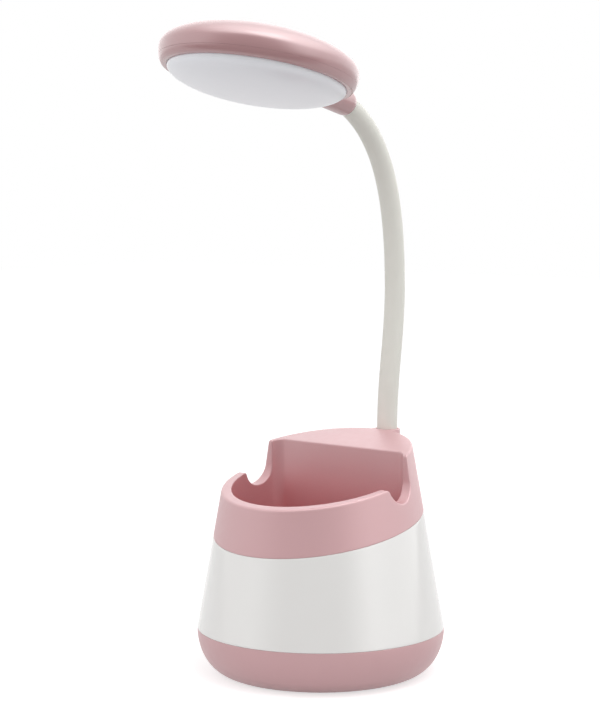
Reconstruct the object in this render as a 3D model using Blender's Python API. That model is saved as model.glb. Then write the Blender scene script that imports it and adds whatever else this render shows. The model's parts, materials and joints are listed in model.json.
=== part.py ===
"""A desk lamp that stands in its own pen holder: a conical pot, a gooseneck and a round head.

Metres, +Z up. The origin is the middle of the underside. The lamp faces -Y, and the gooseneck
stands behind the pot, on +Y. Run it with blender --background --python part.py.
"""

import math

import bmesh
import bpy
from mathutils import Matrix, Vector

MM = 0.001

# Shared by all pieces
FIT = 0.3 * MM  # gap between pieces that touch
OVERRUN = 1.0 * MM  # how far a cutter runs past a face, and a joined lump into its wall
MERGE = 0.001 * MM
POT_SIDES = 48
HEAD_SIDES = 40
NECK_SIDES = 16
SMALL_SIDES = 12
SCREW_SIDES = 10
LEAD_SIDES = 8

# Pot: a cone above a round bowl, cut by three raked planes that rise to the rear
POT_RADIUS = 60.3 * MM  # at the seam of bowl and band
POT_TAPER = math.radians(10.1)
FOOT_RADIUS = 44.5 * MM  # where the bowl's curve ends on the underside
BOWL_HEIGHT = 22.3 * MM
BOWL_WALL = 2.6 * MM
RAKE = math.radians(11.1)
SEAM_HEIGHT = 74.4 * MM  # raked heights are those on the pot's axis
RIM_HEIGHT = 95.9 * MM
DECK_HEIGHT = 106.5 * MM
BAND_WALL = 2.0 * MM
SPIGOT_WALL = 1.7 * MM
SPIGOT_DEPTH = 5.0 * MM

# Pen holder
WELL_WALL = 2.4 * MM
WELL_FLOOR_WALL = 2.2 * MM
RIM_THICKNESS = 5.2 * MM  # of the wall between pot and well, at the front rim
WELL_FORWARD = 0.8 * MM  # the well's round wall has its centre ahead of the pot's axis
WELL_DRAFT = math.radians(1.0)  # of the wall below the rim; above it the wall is upright
WELL_CORNER = 6.0 * MM
PARTITION_FRONT = 15.2 * MM
PARTITION_WALL = 2.4 * MM
DECK_WALL = 2.4 * MM

# Phone notches in both side walls
NOTCH_MIDDLE = 2.45 * MM
NOTCH_HALF_WIDTH = 8.85 * MM
NOTCH_DEPTH = 9.2 * MM
NOTCH_LIP = 1.8 * MM

# Ear that holds the gooseneck's foot behind the pot
EAR_WALL = 1.1 * MM
EAR_RISE = 7.7 * MM  # of its top above the deck's height on the axis
EAR_FLOOR = 1.2 * MM  # under the seat
EAR_LENGTH = 29.0 * MM
EAR_ROOT_RADIUS = 4.6 * MM

# Anti-slip pad
PAD_RADIUS = 40.0 * MM
PAD_THICKNESS = 1.5 * MM
PAD_PROUD = 0.4 * MM

# Screws: the head's radius and height, the shank's radius and the length under the head
BASE_SCREW_HEAD = 3.0 * MM
BASE_SCREW_HEAD_HEIGHT = 1.8 * MM
BASE_SCREW_SHANK = 1.5 * MM
BASE_SCREW_LENGTH = 16.0 * MM
SMALL_SCREW_HEAD = 2.1 * MM
SMALL_SCREW_HEAD_HEIGHT = 1.3 * MM
SMALL_SCREW_SHANK = 1.0 * MM
SMALL_SCREW_LENGTH = 4.5 * MM
DRIVE_SHARE = 0.45  # of the head's radius and of its height
BOSS_WALL = 1.3 * MM

# Counterweight and battery
WEIGHT_RADIUS = 42.4 * MM
WEIGHT_THICKNESS = 3.4 * MM
WEIGHT_SCREW_REACH = 36.0 * MM
WEIGHT_SCREW_ANGLES = (math.radians(42), math.radians(138), math.radians(270))
BATTERY_RADIUS = 9.2 * MM
BATTERY_LENGTH = 65.0 * MM
BATTERY_BACK = -9.5 * MM
BATTERY_NUB = 2.8 * MM
CRADLE_WALL = 1.4 * MM
CRADLE_SHARE = 0.85  # how far up the cell's axis the cradle's walls reach
HEADROOM = 0.9 * MM  # over the battery, under the well
FRONT_BOSS_SPREAD = 24.0 * MM
REAR_BOSS_SPREAD = 32.0 * MM
PILLAR_HEIGHT = 9.0 * MM

# Electronics on the band's rear wall, in the frame of that wall
PANEL_HEIGHT = 50.0 * MM
BOARD_WIDTH = 26.0 * MM
BOARD_LENGTH = 38.0 * MM
BOARD_THICKNESS = 1.6 * MM
BOARD_DEPTH = 7.6 * MM  # from the wall's outside to the board
BOARD_SCREW_INSET = 3.4 * MM
CHIP_SIZE = 7.0 * MM
CHIP_HEIGHT = 1.4 * MM
CELL_CONNECTOR = 5.0 * MM
SOCKET_DROP = 10.0 * MM
SOCKET_WIDTH = 8.94 * MM
SOCKET_HEIGHT = 3.3 * MM
SOCKET_WALL = 0.5 * MM
SOCKET_TONGUE = 0.7 * MM
SOCKET_BACK = 1.2 * MM
BUTTON_RISE = 9.0 * MM
BUTTON_RADIUS = 5.0 * MM
BUTTON_PROUD = 1.4 * MM
BUTTON_EDGE = 0.5 * MM
BUTTON_FLANGE = 1.2 * MM
BUTTON_FLANGE_HEIGHT = 0.8 * MM
BUTTON_TRAVEL = 0.8 * MM
SWITCH_SIZE = 6.0 * MM
SWITCH_HEIGHT = 1.8 * MM
SWITCH_STEM = 1.6 * MM

# Gooseneck: two smooth stretches in the plane x = 0, which meet at the rearmost point
NECK_RADIUS = 5.1 * MM
CORE_RADIUS = 3.2 * MM
LEAD_RADIUS = 1.0 * MM
BELLY_BULGE = 6.0 * MM  # of the rearmost point behind the foot
BELLY_RISE = 70.7 * MM
FOOT_PULL_SHARE = 0.38  # the curve's handles, as shares of the stretch's rise
BELLY_LOW_SHARE = 0.34
BELLY_HIGH_SHARE = 0.56
TIP_PULL_SHARE = 0.34
TIP_RISE = math.radians(26.1)  # how steeply the gooseneck enters the head's stem
NECK_LINKS = 5
FOOT_STUB = 8.0 * MM
TIP_STUB = 14.0 * MM
BALL_GAP = 0.3 * MM
SLEEVE_FOOT = 5.0 * MM  # how deep the sleeve stands in the ear
FERRULE_LENGTH = 6.0 * MM
LEAD_HOLE = 1.5 * MM
LEAD_ROOM = 5.5 * MM  # under the ferrule, where the lead turns
LEAD_BEND = 5.0 * MM
LINK_STEPS = 4

# Head, in its own frame: parting plane at zero, +Y to the rear along the disc, +Z out of its top
HEAD_FORWARD = 98.2 * MM  # of its middle from the gooseneck's foot
HEAD_RISE = 175.4 * MM
HEAD_TILT = math.radians(-13.6)
HEAD_RADIUS = 46.85 * MM  # at the waist, where the head is widest
WAIST_RISE = 4.4 * MM
DOME_HEIGHT = 14.7 * MM  # above the waist
COVER_WALL = 2.2 * MM
RING_DEPTH = 3.45 * MM
RING_ROUND = 3.2 * MM  # how far the head draws in from its waist to its lower rim
RING_LEDGE = 2.0 * MM
LENS_RADIUS = 41.9 * MM
LENS_DEPTH = 9.5 * MM
LENS_WALL = 1.6 * MM
LENS_FLANGE = 1.4 * MM
LENS_FLANGE_THICKNESS = 1.4 * MM
REFLECTOR_INNER = 34.6 * MM
REFLECTOR_THICKNESS = 0.9 * MM
LED_BOARD_RADIUS = 36.9 * MM
LED_BOARD_THICKNESS = 1.6 * MM
LED_COUNT = 12
LED_CIRCLE = 24.0 * MM
LED_SIZE = 2.8 * MM
LED_HEIGHT = 0.6 * MM
HEAD_SCREW_CIRCLE = 30.5 * MM
HEAD_SCREW_ANGLES = (math.radians(30), math.radians(150), math.radians(270))

# Stem that joins the gooseneck to the head
STEM_RADIUS = 6.4 * MM
STEM_RISE = 2.5 * MM
STEM_REACH = 64.1 * MM  # from the head's middle to the centre of the stem's round end
TONGUE_RADIUS = 2.6 * MM
TONGUE_RISE = 5.8 * MM
CLIP_THICKNESS = 1.0 * MM
CLIP_WIDTH = 1.3 * MM

X_AXIS = Vector((1, 0, 0))
Y_AXIS = Vector((0, 1, 0))
Z_AXIS = Vector((0, 0, 1))

# Colour as an sRGB hex value, roughness, metallic
FINISHES = {
    "pink_plastic": ("d9a7ac", 0.42, 0.0),
    "pink_gloss_plastic": ("d3a0a6", 0.25, 0.0),
    "white_gloss_plastic": ("efeff0", 0.12, 0.0),
    "opal_diffuser": ("dfe2e8", 0.35, 0.0),
    "silicone_sleeve": ("e4e2dc", 0.5, 0.0),
    "neck_steel": ("8b8d90", 0.4, 1.0),
    "zinc_screw": ("b9bbbd", 0.35, 1.0),
    "weight_steel": ("6f7174", 0.5, 1.0),
    "rubber_pad": ("3a3a3c", 0.85, 0.0),
    "black_plastic": ("2a2a2c", 0.5, 0.0),
    "cell_wrap": ("3f6fa8", 0.4, 0.0),
    "board_green": ("1f5a3c", 0.45, 0.0),
    "board_white": ("e8e8e4", 0.4, 0.0),
    "reflector_white": ("f2f2f0", 0.3, 0.0),
    "socket_steel": ("a8abae", 0.3, 1.0),
    "brass_ferrule": ("b79a5b", 0.35, 1.0),
    "lead_red": ("a8322e", 0.5, 0.0),
}


def linear(hex_text):
    """An sRGB hex value as linear red, green and blue."""
    channels = [int(hex_text[at : at + 2], 16) / 255 for at in (0, 2, 4)]
    return [c / 12.92 if c <= 0.04045 else ((c + 0.055) / 1.055) ** 2.4 for c in channels]


def material(finish):
    found = bpy.data.materials.get(finish)
    if found:
        return found
    hex_text, roughness, metallic = FINISHES[finish]
    made = bpy.data.materials.new(finish)
    made.use_nodes = True
    shader = made.node_tree.nodes["Principled BSDF"]
    shader.inputs["Base Color"].default_value = (*linear(hex_text), 1)
    shader.inputs["Roughness"].default_value = roughness
    shader.inputs["Metallic"].default_value = metallic
    return made


def place(name, bm, finish=None, parent=None, origin=None):
    """The mesh as an object. Its points are in its parent's frame, or in the world's, and its
    origin moves to the given point. Without a finish it is a cutter or a lump to join."""
    bmesh.ops.remove_doubles(bm, verts=bm.verts[:], dist=MERGE)
    bmesh.ops.recalc_face_normals(bm, faces=bm.faces[:])
    if origin:
        bmesh.ops.translate(bm, verts=bm.verts[:], vec=-origin)
    mesh = bpy.data.meshes.new(name)
    bm.to_mesh(mesh)
    bm.free()
    mesh.shade_smooth()
    mesh.set_sharp_from_angle(angle=math.radians(35))
    obj = bpy.data.objects.new(name, mesh)
    bpy.context.scene.collection.objects.link(obj)
    obj.parent = parent
    if origin:
        obj.location = origin
    if finish:
        mesh.materials.append(material(finish))
    else:
        obj.hide_render = True
        obj.display_type = "WIRE"
    return obj


def apply_boolean(target, other, operation):
    step = target.modifiers.new(f"{operation.lower()} {other.name}", "BOOLEAN")
    step.operation = operation
    step.solver = "EXACT"
    step.object = other


def cut(target, *cutters):
    for cutter in cutters:
        apply_boolean(target, cutter, "DIFFERENCE")


def join(target, *lumps):
    for lump in lumps:
        apply_boolean(target, lump, "UNION")


def turned(name, profile, finish=None, sides=POT_SIDES, parent=None, frame=None):
    """A solid turned about Z from (radius, height) points. A profile that starts and ends on
    the axis is open; any other is a closed outline. The frame then turns and moves it."""
    bm = bmesh.new()
    points = [bm.verts.new((radius, 0, height)) for radius, height in profile]
    pairs = list(zip(points, points[1:]))
    if profile[0][0] > 0:
        pairs.append((points[-1], points[0]))
    edges = [bm.edges.new(pair) for pair in pairs]
    bmesh.ops.spin(bm, geom=points + edges, cent=(0, 0, 0), axis=(0, 0, 1), angle=math.tau, steps=sides,
                   use_merge=True)
    if frame:
        bmesh.ops.transform(bm, matrix=frame, verts=bm.verts[:])
    return place(name, bm, finish, parent)


def along(direction, start):
    """The frame at start whose Z points along the direction."""
    turn = Z_AXIS.rotation_difference(direction).to_matrix().to_4x4()
    return Matrix.Translation(start) @ turn


def rod(name, start, end, radius, finish=None, sides=SMALL_SIDES, parent=None):
    """A round bar between two points."""
    run = end - start
    profile = [(0, 0), (radius, 0), (radius, run.length), (0, run.length)]
    return turned(name, profile, finish, sides, parent, along(run, start))


def box(name, low, high, finish=None, parent=None):
    """A block between two corners."""
    bm = bmesh.new()
    size = high - low
    middle = (high + low) / 2
    frame = Matrix.Translation(middle) @ Matrix.Diagonal((*size, 1))
    bmesh.ops.create_cube(bm, size=1, matrix=frame)
    return place(name, bm, finish, parent)


def side_prism(name, outline, half_width):
    """A prism along X from (y, z) points."""
    bm = bmesh.new()
    near = [bm.verts.new((-half_width, y, z)) for y, z in outline]
    face = bm.faces.new(near)
    pushed = bmesh.ops.extrude_face_region(bm, geom=[face])["geom"]
    moved = [item for item in pushed if isinstance(item, bmesh.types.BMVert)]
    bmesh.ops.translate(bm, verts=moved, vec=(2 * half_width, 0, 0))
    return place(name, bm)


def bridged(name, loops, finish=None, parent=None, origin=None, hollow=False):
    """A solid skinned over loops of equally many points. Its ends are capped, or a hollow one
    runs from the last loop back to the first."""
    bm = bmesh.new()
    rows = [[bm.verts.new(point) for point in loop] for loop in loops]
    pairs = list(zip(rows, rows[1:]))
    if hollow:
        pairs.append((rows[-1], rows[0]))
    else:
        bm.faces.new(rows[0])
        bm.faces.new(rows[-1])
    count = len(rows[0])
    for low, high in pairs:
        for at in range(count):
            after = (at + 1) % count
            bm.faces.new((low[at], low[after], high[after], high[at]))
    return place(name, bm, finish, parent, origin)


def ring(centre, direction, radius, sides):
    """Points of a circle square to the direction, the first one nearest to +X."""
    across = (X_AXIS - direction * X_AXIS.dot(direction)).normalized()
    up = direction.cross(across)
    turns = [math.tau * at / sides for at in range(sides)]
    return [centre + radius * (math.cos(a) * across + math.sin(a) * up) for a in turns]


def bezier(points, share):
    """The point and the direction of a cubic curve at a share of its run, from 0 to 1."""
    a, b, c, d = points
    rest = 1 - share
    point = a * rest**3 + b * (3 * rest**2 * share) + c * (3 * rest * share**2) + d * share**3
    slope = (b - a) * rest**2 + (c - b) * (2 * rest * share) + (d - c) * share**2
    return point, slope.normalized()


def swept(name, curves, radius, steps, finish=None, parent=None):
    """A round bar along cubic curves that follow each other."""
    stations = [bezier(curves[0], 0)]
    for curve in curves:
        stations += [bezier(curve, at / steps) for at in range(1, steps + 1)]
    loops = [ring(point, slope, radius, LEAD_SIDES) for point, slope in stations]
    return bridged(name, loops, finish, parent)


def screw(name, seat, direction, head, head_height, shank, length, parent=None):
    """A screw whose head's underside is at the seat and whose shank points along the direction."""
    profile = [
        (0, -head_height * (1 - DRIVE_SHARE)),
        (head * DRIVE_SHARE, -head_height * (1 - DRIVE_SHARE)),
        (head * DRIVE_SHARE, -head_height),
        (head, -head_height),
        (head, 0),
        (shank, 0),
        (shank, length),
        (0, length),
    ]
    return turned(name, profile, "zinc_screw", SCREW_SIDES, parent, along(direction, seat))


def small_screw(name, seat, direction, parent=None, length=SMALL_SCREW_LENGTH):
    return screw(name, seat, direction, SMALL_SCREW_HEAD, SMALL_SCREW_HEAD_HEIGHT, SMALL_SCREW_SHANK, length,
                 parent)


def hole(name, start, direction, radius, length, parent=None):
    """A round cutter from start along the direction."""
    return rod(name, start, start + direction * length, radius, parent=parent)


def stepped_hole(name, start, direction, wide, wide_length, narrow, length, parent=None):
    """A round cutter from start along the direction, wide at first and then narrow."""
    profile = [(0, 0), (wide, 0), (wide, wide_length), (narrow, wide_length), (narrow, length), (0, length)]
    return turned(name, profile, None, SMALL_SIDES, parent, along(direction, start))


def boss(name, foot, direction, radius, bore, depth, length, parent=None):
    """A round post from its foot along the direction, bored from the foot to a depth."""
    profile = [(0, depth), (bore, depth), (bore, 0), (radius, 0), (radius, length), (0, length)]
    return turned(name, profile, None, SMALL_SIDES, parent, along(direction, foot))


def together(name, pieces):
    """Cutters or lumps of one parent that don't touch each other, as one object."""
    bm = bmesh.new()
    parent = pieces[0].parent
    for piece in pieces:
        bm.from_mesh(piece.data)
        bpy.data.objects.remove(piece)
    return place(name, bm, parent=parent)


def empty(name, location, parent=None, turn=0.0):
    made = bpy.data.objects.new(name, None)
    bpy.context.scene.collection.objects.link(made)
    made.parent = parent
    made.location = location
    made.rotation_euler = (turn, 0, 0)
    return made


# Pot's surfaces


def pot_radius(height):
    return POT_RADIUS - (height - BOWL_HEIGHT) * math.tan(POT_TAPER)


def raked(height, y):
    """The height at y of the raked plane that crosses the axis at the given height."""
    return height + math.tan(RAKE) * y


SPAN = 3 * POT_RADIUS  # larger than the pot each way, for cutters
EAR_TOP = DECK_HEIGHT + EAR_RISE
FERRULE_TOP = EAR_TOP - SLEEVE_FOOT - FIT
FERRULE_BOTTOM = FERRULE_TOP - FERRULE_LENGTH
SEAT_BOTTOM = FERRULE_BOTTOM - LEAD_ROOM
EAR_REACH = pot_radius(SEAT_BOTTOM) + NECK_RADIUS + 2 * FIT
EAR_RADIUS = NECK_RADIUS + FIT + EAR_WALL
FOOT = Vector((0, EAR_REACH, EAR_TOP))
HEAD_CENTRE = FOOT - Y_AXIS * HEAD_FORWARD + Z_AXIS * HEAD_RISE
HEAD_FRAME = Matrix.Translation(HEAD_CENTRE) @ Matrix.Rotation(HEAD_TILT, 4, "X")
TIP = HEAD_FRAME @ Vector((0, STEM_REACH, STEM_RISE))
PAD_TOP = PAD_THICKNESS + FIT
FLOOR_TOP = PAD_TOP + BOWL_WALL
WEIGHT_BOTTOM = FLOOR_TOP + FIT
WEIGHT_TOP = WEIGHT_BOTTOM + WEIGHT_THICKNESS
CRADLE_BOTTOM = WEIGHT_TOP + FIT
BATTERY_HEIGHT = CRADLE_BOTTOM + CRADLE_WALL + FIT + BATTERY_RADIUS
WELL_UNDERSIDE = BATTERY_HEIGHT + BATTERY_RADIUS + HEADROOM
WELL_FLOOR = WELL_UNDERSIDE + WELL_FLOOR_WALL
CRADLE_HALF_DEPTH = BATTERY_RADIUS + FIT + CRADLE_WALL
PILLAR_RADIUS = BASE_SCREW_HEAD + FIT + BOSS_WALL
PILLAR_TOP = FLOOR_TOP + PILLAR_HEIGHT
BAND_INSET = BAND_WALL + FIT
SHELL_INSET = BAND_INSET + SPIGOT_WALL


def cone(name, low, high, inset):
    """The pot's cone between two heights, set in from its surface."""
    profile = [(0, low), (pot_radius(low) - inset, low), (pot_radius(high) - inset, high), (0, high)]
    return turned(name, profile)


def slab(name, low, high):
    """Everything between two raked planes, given by their heights on the axis."""
    outline = [(-SPAN, raked(low, -SPAN)), (SPAN, raked(low, SPAN)), (SPAN, raked(high, SPAN))]
    return side_prism(name, outline + [(-SPAN, raked(high, -SPAN))], SPAN)


def boss_places():
    """Where the four base screws stand, clear of the battery's cradle."""
    clear = CRADLE_HALF_DEPTH + PILLAR_RADIUS + 2 * FIT
    front = BATTERY_BACK - clear
    rear = BATTERY_BACK + clear
    return [
        (-FRONT_BOSS_SPREAD, front),
        (FRONT_BOSS_SPREAD, front),
        (-REAR_BOSS_SPREAD, rear),
        (REAR_BOSS_SPREAD, rear),
    ]


def weight_screw_places():
    reach = WEIGHT_SCREW_REACH
    return [(reach * math.cos(angle), reach * math.sin(angle)) for angle in WEIGHT_SCREW_ANGLES]


# Underside, bowl and what stands on its floor


def make_pad():
    profile = [(0, 0), (PAD_RADIUS, 0), (PAD_RADIUS, PAD_THICKNESS), (0, PAD_THICKNESS)]
    return turned("anti_slip_pad", profile, "rubber_pad")


def make_bowl():
    """A quarter of an ellipse turned about the axis, with a spigot that stands up in the band."""
    width = POT_RADIUS - FOOT_RADIUS
    height = BOWL_HEIGHT - PAD_PROUD
    outer_steps = 8
    turns = [math.pi / 2 * at / outer_steps for at in range(outer_steps + 1)]
    outside = [(FOOT_RADIUS + width * math.sin(a), BOWL_HEIGHT - height * math.cos(a)) for a in turns]
    spigot_top = BOWL_HEIGHT + SPIGOT_DEPTH
    spigot = [
        (pot_radius(BOWL_HEIGHT) - BAND_INSET, BOWL_HEIGHT),
        (pot_radius(spigot_top) - BAND_INSET, spigot_top),
        (pot_radius(spigot_top) - SHELL_INSET, spigot_top),
    ]
    inner_width = width - BOWL_WALL
    inner_height = BOWL_HEIGHT - FLOOR_TOP
    top_turn = math.asin((spigot[-1][0] - FOOT_RADIUS) / inner_width)
    inner_steps = 4
    turns = [top_turn * at / inner_steps for at in range(inner_steps, -1, -1)]
    inside = [
        (FOOT_RADIUS + inner_width * math.sin(a), BOWL_HEIGHT - inner_height * math.cos(a)) for a in turns
    ]
    recess = [(0, PAD_TOP), (PAD_RADIUS + FIT, PAD_TOP), (PAD_RADIUS + FIT, PAD_PROUD)]
    bowl = turned("base_bowl", recess + outside + spigot + inside + [(0, FLOOR_TOP)], "pink_plastic")
    head_room = BASE_SCREW_HEAD_HEIGHT + 2 * FIT
    through = PILLAR_TOP - PAD_TOP + 2 * OVERRUN
    pilot_foot = (PAD_TOP + FLOOR_TOP) / 2 - FIT
    pillars = []
    holes = []
    for x, y in boss_places():
        foot = Vector((x, y, FLOOR_TOP - OVERRUN))
        under = Vector((x, y, PAD_TOP - OVERRUN))
        pillars.append(rod("pillar", foot, Vector((x, y, PILLAR_TOP)), PILLAR_RADIUS))
        holes.append(stepped_hole("pillar hole", under, Z_AXIS, BASE_SCREW_HEAD + FIT, OVERRUN + head_room,
                                  BASE_SCREW_SHANK + FIT, through))
    for x, y in weight_screw_places():
        start = Vector((x, y, pilot_foot))
        depth = FLOOR_TOP + OVERRUN - pilot_foot
        holes.append(hole("pilot hole", start, Z_AXIS, SMALL_SCREW_SHANK + FIT, depth))
    join(bowl, together("pillars", pillars))
    cut(bowl, together("bowl holes", holes))
    return bowl


def make_base_screws():
    seat_height = PAD_TOP + BASE_SCREW_HEAD_HEIGHT + FIT
    for at, (x, y) in enumerate(boss_places(), 1):
        seat = Vector((x, y, seat_height))
        screw(f"base_screw_{at}", seat, Z_AXIS, BASE_SCREW_HEAD, BASE_SCREW_HEAD_HEIGHT, BASE_SCREW_SHANK,
              BASE_SCREW_LENGTH)


def make_counterweight():
    """A steel disc on the bowl's floor, drilled for the pillars and its own screws."""
    radius = WEIGHT_RADIUS
    profile = [(0, WEIGHT_BOTTOM), (radius, WEIGHT_BOTTOM), (radius, WEIGHT_TOP), (0, WEIGHT_TOP)]
    weight = turned("counterweight", profile, "weight_steel")
    length = WEIGHT_THICKNESS + 2 * OVERRUN
    low = Vector((0, 0, WEIGHT_BOTTOM - OVERRUN))
    holes = []
    for x, y in boss_places():
        holes.append(hole("pillar hole", low + Vector((x, y, 0)), Z_AXIS, PILLAR_RADIUS + FIT, length))
    for at, (x, y) in enumerate(weight_screw_places(), 1):
        holes.append(hole("screw hole", low + Vector((x, y, 0)), Z_AXIS, SMALL_SCREW_SHANK + FIT, length))
        seat = Vector((x, y, WEIGHT_TOP + FIT))
        into_floor = seat.z - (PAD_TOP + FLOOR_TOP) / 2
        small_screw(f"weight_screw_{at}", seat, -Z_AXIS, length=into_floor)
    cut(weight, together("weight holes", holes))


def make_battery():
    """A round cell that lies across the lamp in an open cradle."""
    half = BATTERY_LENGTH / 2
    middle = Vector((0, BATTERY_BACK, BATTERY_HEIGHT))
    radius = BATTERY_RADIUS
    nub = BATTERY_NUB
    profile = [
        (0, -half),
        (radius - nub / 4, -half),
        (radius, -half + nub / 4),
        (radius, half - nub - nub / 4),
        (radius - nub / 4, half - nub),
        (nub, half - nub),
        (nub, half),
        (0, half),
    ]
    turned("battery_cell", profile, "cell_wrap", POT_SIDES // 2, frame=along(X_AXIS, middle))
    room = Vector((half + FIT + CRADLE_WALL, CRADLE_HALF_DEPTH, 0))
    low = Vector((0, BATTERY_BACK, CRADLE_BOTTOM)) - room
    high = Vector((0, BATTERY_BACK, CRADLE_BOTTOM + CRADLE_SHARE * BATTERY_RADIUS)) + room
    cradle = box("battery_cradle", low, high, "black_plastic")
    reach = X_AXIS * (half + FIT)
    cut(cradle, rod("cell space", middle - reach, middle + reach, BATTERY_RADIUS + FIT, sides=POT_SIDES // 2))


# White band and the electronics behind it

PANEL = Matrix.Translation(Vector((0, pot_radius(PANEL_HEIGHT), PANEL_HEIGHT))) @ Matrix.Rotation(
    POT_TAPER, 4, "X"
)
BOARD_FRONT = -BOARD_DEPTH
BOARD_BACK = BOARD_FRONT - BOARD_THICKNESS


def board_screw_places():
    x = BOARD_WIDTH / 2 - BOARD_SCREW_INSET
    z = BOARD_LENGTH / 2 - BOARD_SCREW_INSET
    return [(-x, -z), (x, -z), (-x, z), (x, z)]


def stadium_loop(width, height, y, drop, quarter_steps):
    """Points of a stadium outline in the plane of y."""
    radius = height / 2
    shift = width / 2 - radius
    loop = []
    for side in (1, -1):
        for at in range(quarter_steps * 2 + 1):
            angle = side * math.pi / 2 - math.pi * at / (quarter_steps * 2)
            loop.append(Vector((side * shift + radius * math.cos(angle), y, drop + radius * math.sin(angle))))
    return loop


def make_band(panel):
    """The glossy cone between the bowl and the raked seam, with bosses for the board."""
    low = BOWL_HEIGHT + FIT
    high = raked(SEAM_HEIGHT, POT_RADIUS)
    profile = [
        (pot_radius(low), low),
        (pot_radius(high), high),
        (pot_radius(high) - BAND_WALL, high),
        (pot_radius(low) - BAND_WALL, low),
    ]
    band = turned("body_band", profile, "white_gloss_plastic")
    bore = SMALL_SCREW_SHANK + FIT
    boss_radius = bore + BOSS_WALL
    depth = SMALL_SCREW_LENGTH - BOARD_THICKNESS
    bosses = []
    for x, z in board_screw_places():
        foot = Vector((x, BOARD_FRONT + FIT, z))
        length = -foot.y - BAND_WALL / 2
        bosses.append(boss("board boss", foot, Y_AXIS, boss_radius, bore, depth, length, panel))
    cut(band, slab("above the seam", SEAM_HEIGHT - FIT, SEAM_HEIGHT + SPAN))
    join(band, together("board bosses", bosses))
    flange_room = BUTTON_RADIUS + BUTTON_FLANGE + FIT
    well_end = BOARD_DEPTH - BAND_WALL
    start = Vector((0, BOARD_FRONT, BUTTON_RISE))
    button = stepped_hole("button hole", start, Y_AXIS, flange_room, well_end, BUTTON_RADIUS + FIT,
                          BOARD_DEPTH + BUTTON_PROUD, panel)
    cut(band, together("panel holes", [socket_mouth(panel), button]))
    return band


def socket_mouth(panel):
    """The hole in the band that the charging socket fills."""
    width = SOCKET_WIDTH + 2 * (SOCKET_WALL + FIT)
    height = SOCKET_HEIGHT + 2 * (SOCKET_WALL + FIT)
    loops = [stadium_loop(width, height, y, -SOCKET_DROP, 4) for y in (BOARD_FRONT, BUTTON_PROUD)]
    return bridged("socket mouth", loops, parent=panel)


def make_board(panel):
    """The board with its chip, its battery connector and its lamp connector."""
    half = Vector((BOARD_WIDTH / 2, 0, BOARD_LENGTH / 2))
    low = Vector((0, BOARD_BACK, 0)) - half
    high = Vector((0, BOARD_FRONT, 0)) + half
    board = box("main_board", low, high, "board_green", panel)
    sunk = BOARD_THICKNESS / 2
    chip = Vector((CHIP_SIZE / 2, 0, CHIP_SIZE / 2))
    back = Vector((0, BOARD_BACK - CHIP_HEIGHT, 0))
    lumps = [box("chip lump", back - chip, Vector((0, BOARD_BACK + sunk, 0)) + chip, parent=panel)]
    half_connector = CELL_CONNECTOR / 2
    corner = Vector((half_connector, 0, half_connector))
    reach = BOARD_LENGTH / 2 - half_connector - FIT
    for z in (-reach, reach):
        start = Vector((0, BOARD_BACK - half_connector, z)) - corner
        end = Vector((0, BOARD_BACK + sunk, z)) + corner
        lumps.append(box("connector lump", start, end, parent=panel))
    join(board, together("board lumps", lumps))
    holes = []
    through = BOARD_THICKNESS + 2 * OVERRUN
    for at, (x, z) in enumerate(board_screw_places(), 1):
        start = Vector((x, BOARD_BACK - OVERRUN, z))
        holes.append(hole("board hole", start, Y_AXIS, SMALL_SCREW_SHANK + FIT, through, panel))
        small_screw(f"board_screw_{at}", Vector((x, BOARD_BACK - FIT, z)), Y_AXIS, panel)
    cut(board, together("board holes", holes))


def make_charging_socket(panel):
    """A USB-C shaped metal shell with its tongue, open to the rear of the lamp."""
    back = BOARD_FRONT + FIT
    mouth = -FIT
    width = SOCKET_WIDTH
    height = SOCKET_HEIGHT
    wall = 2 * SOCKET_WALL
    drop = -SOCKET_DROP
    loops = [
        stadium_loop(width + wall, height + wall, back, drop, 4),
        stadium_loop(width + wall, height + wall, mouth, drop, 4),
        stadium_loop(width, height, mouth, drop, 4),
        stadium_loop(width, height, back + SOCKET_BACK, drop, 4),
    ]
    socket = bridged("charging_socket", loops, "socket_steel", panel)
    half_width = width / 2 - height / 2
    low = Vector((-half_width, back + SOCKET_BACK - SOCKET_WALL, drop - SOCKET_TONGUE / 2))
    high = Vector((half_width, mouth - SOCKET_BACK, drop + SOCKET_TONGUE / 2))
    join(socket, box("socket tongue", low, high, parent=panel))


def make_button(panel):
    """The tactile switch on the board and the cap over it, which slides through the band."""
    rise = Vector((0, 0, BUTTON_RISE))
    base = BOARD_FRONT + FIT
    half = SWITCH_SIZE / 2
    body_top = base + SWITCH_HEIGHT
    switch = box("tact_switch", rise + Vector((-half, base, -half)), rise + Vector((half, body_top, half)),
                 "black_plastic", panel)
    flange_face = -(BAND_WALL + FIT)
    flange_back = flange_face - BUTTON_FLANGE_HEIGHT
    stem_top = flange_back - FIT - BUTTON_TRAVEL
    join(switch, rod("switch stem", rise + Y_AXIS * (body_top - SWITCH_HEIGHT / 2), rise + Y_AXIS * stem_top,
                     SWITCH_STEM, parent=panel))
    flange = BUTTON_RADIUS + BUTTON_FLANGE
    profile = [
        (0, flange_back),
        (flange, flange_back),
        (flange, flange_face),
        (BUTTON_RADIUS, flange_face),
        (BUTTON_RADIUS, BUTTON_PROUD - BUTTON_EDGE),
        (BUTTON_RADIUS - BUTTON_EDGE, BUTTON_PROUD),
        (0, BUTTON_PROUD),
    ]
    button_frame = empty("power_button_slide", rise, panel)
    outwards = along(Y_AXIS, Vector((0, 0, 0)))
    turned("power_button", profile, "pink_plastic", HEAD_SIDES // 2, button_frame, outwards)


# Pen holder shell


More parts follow.
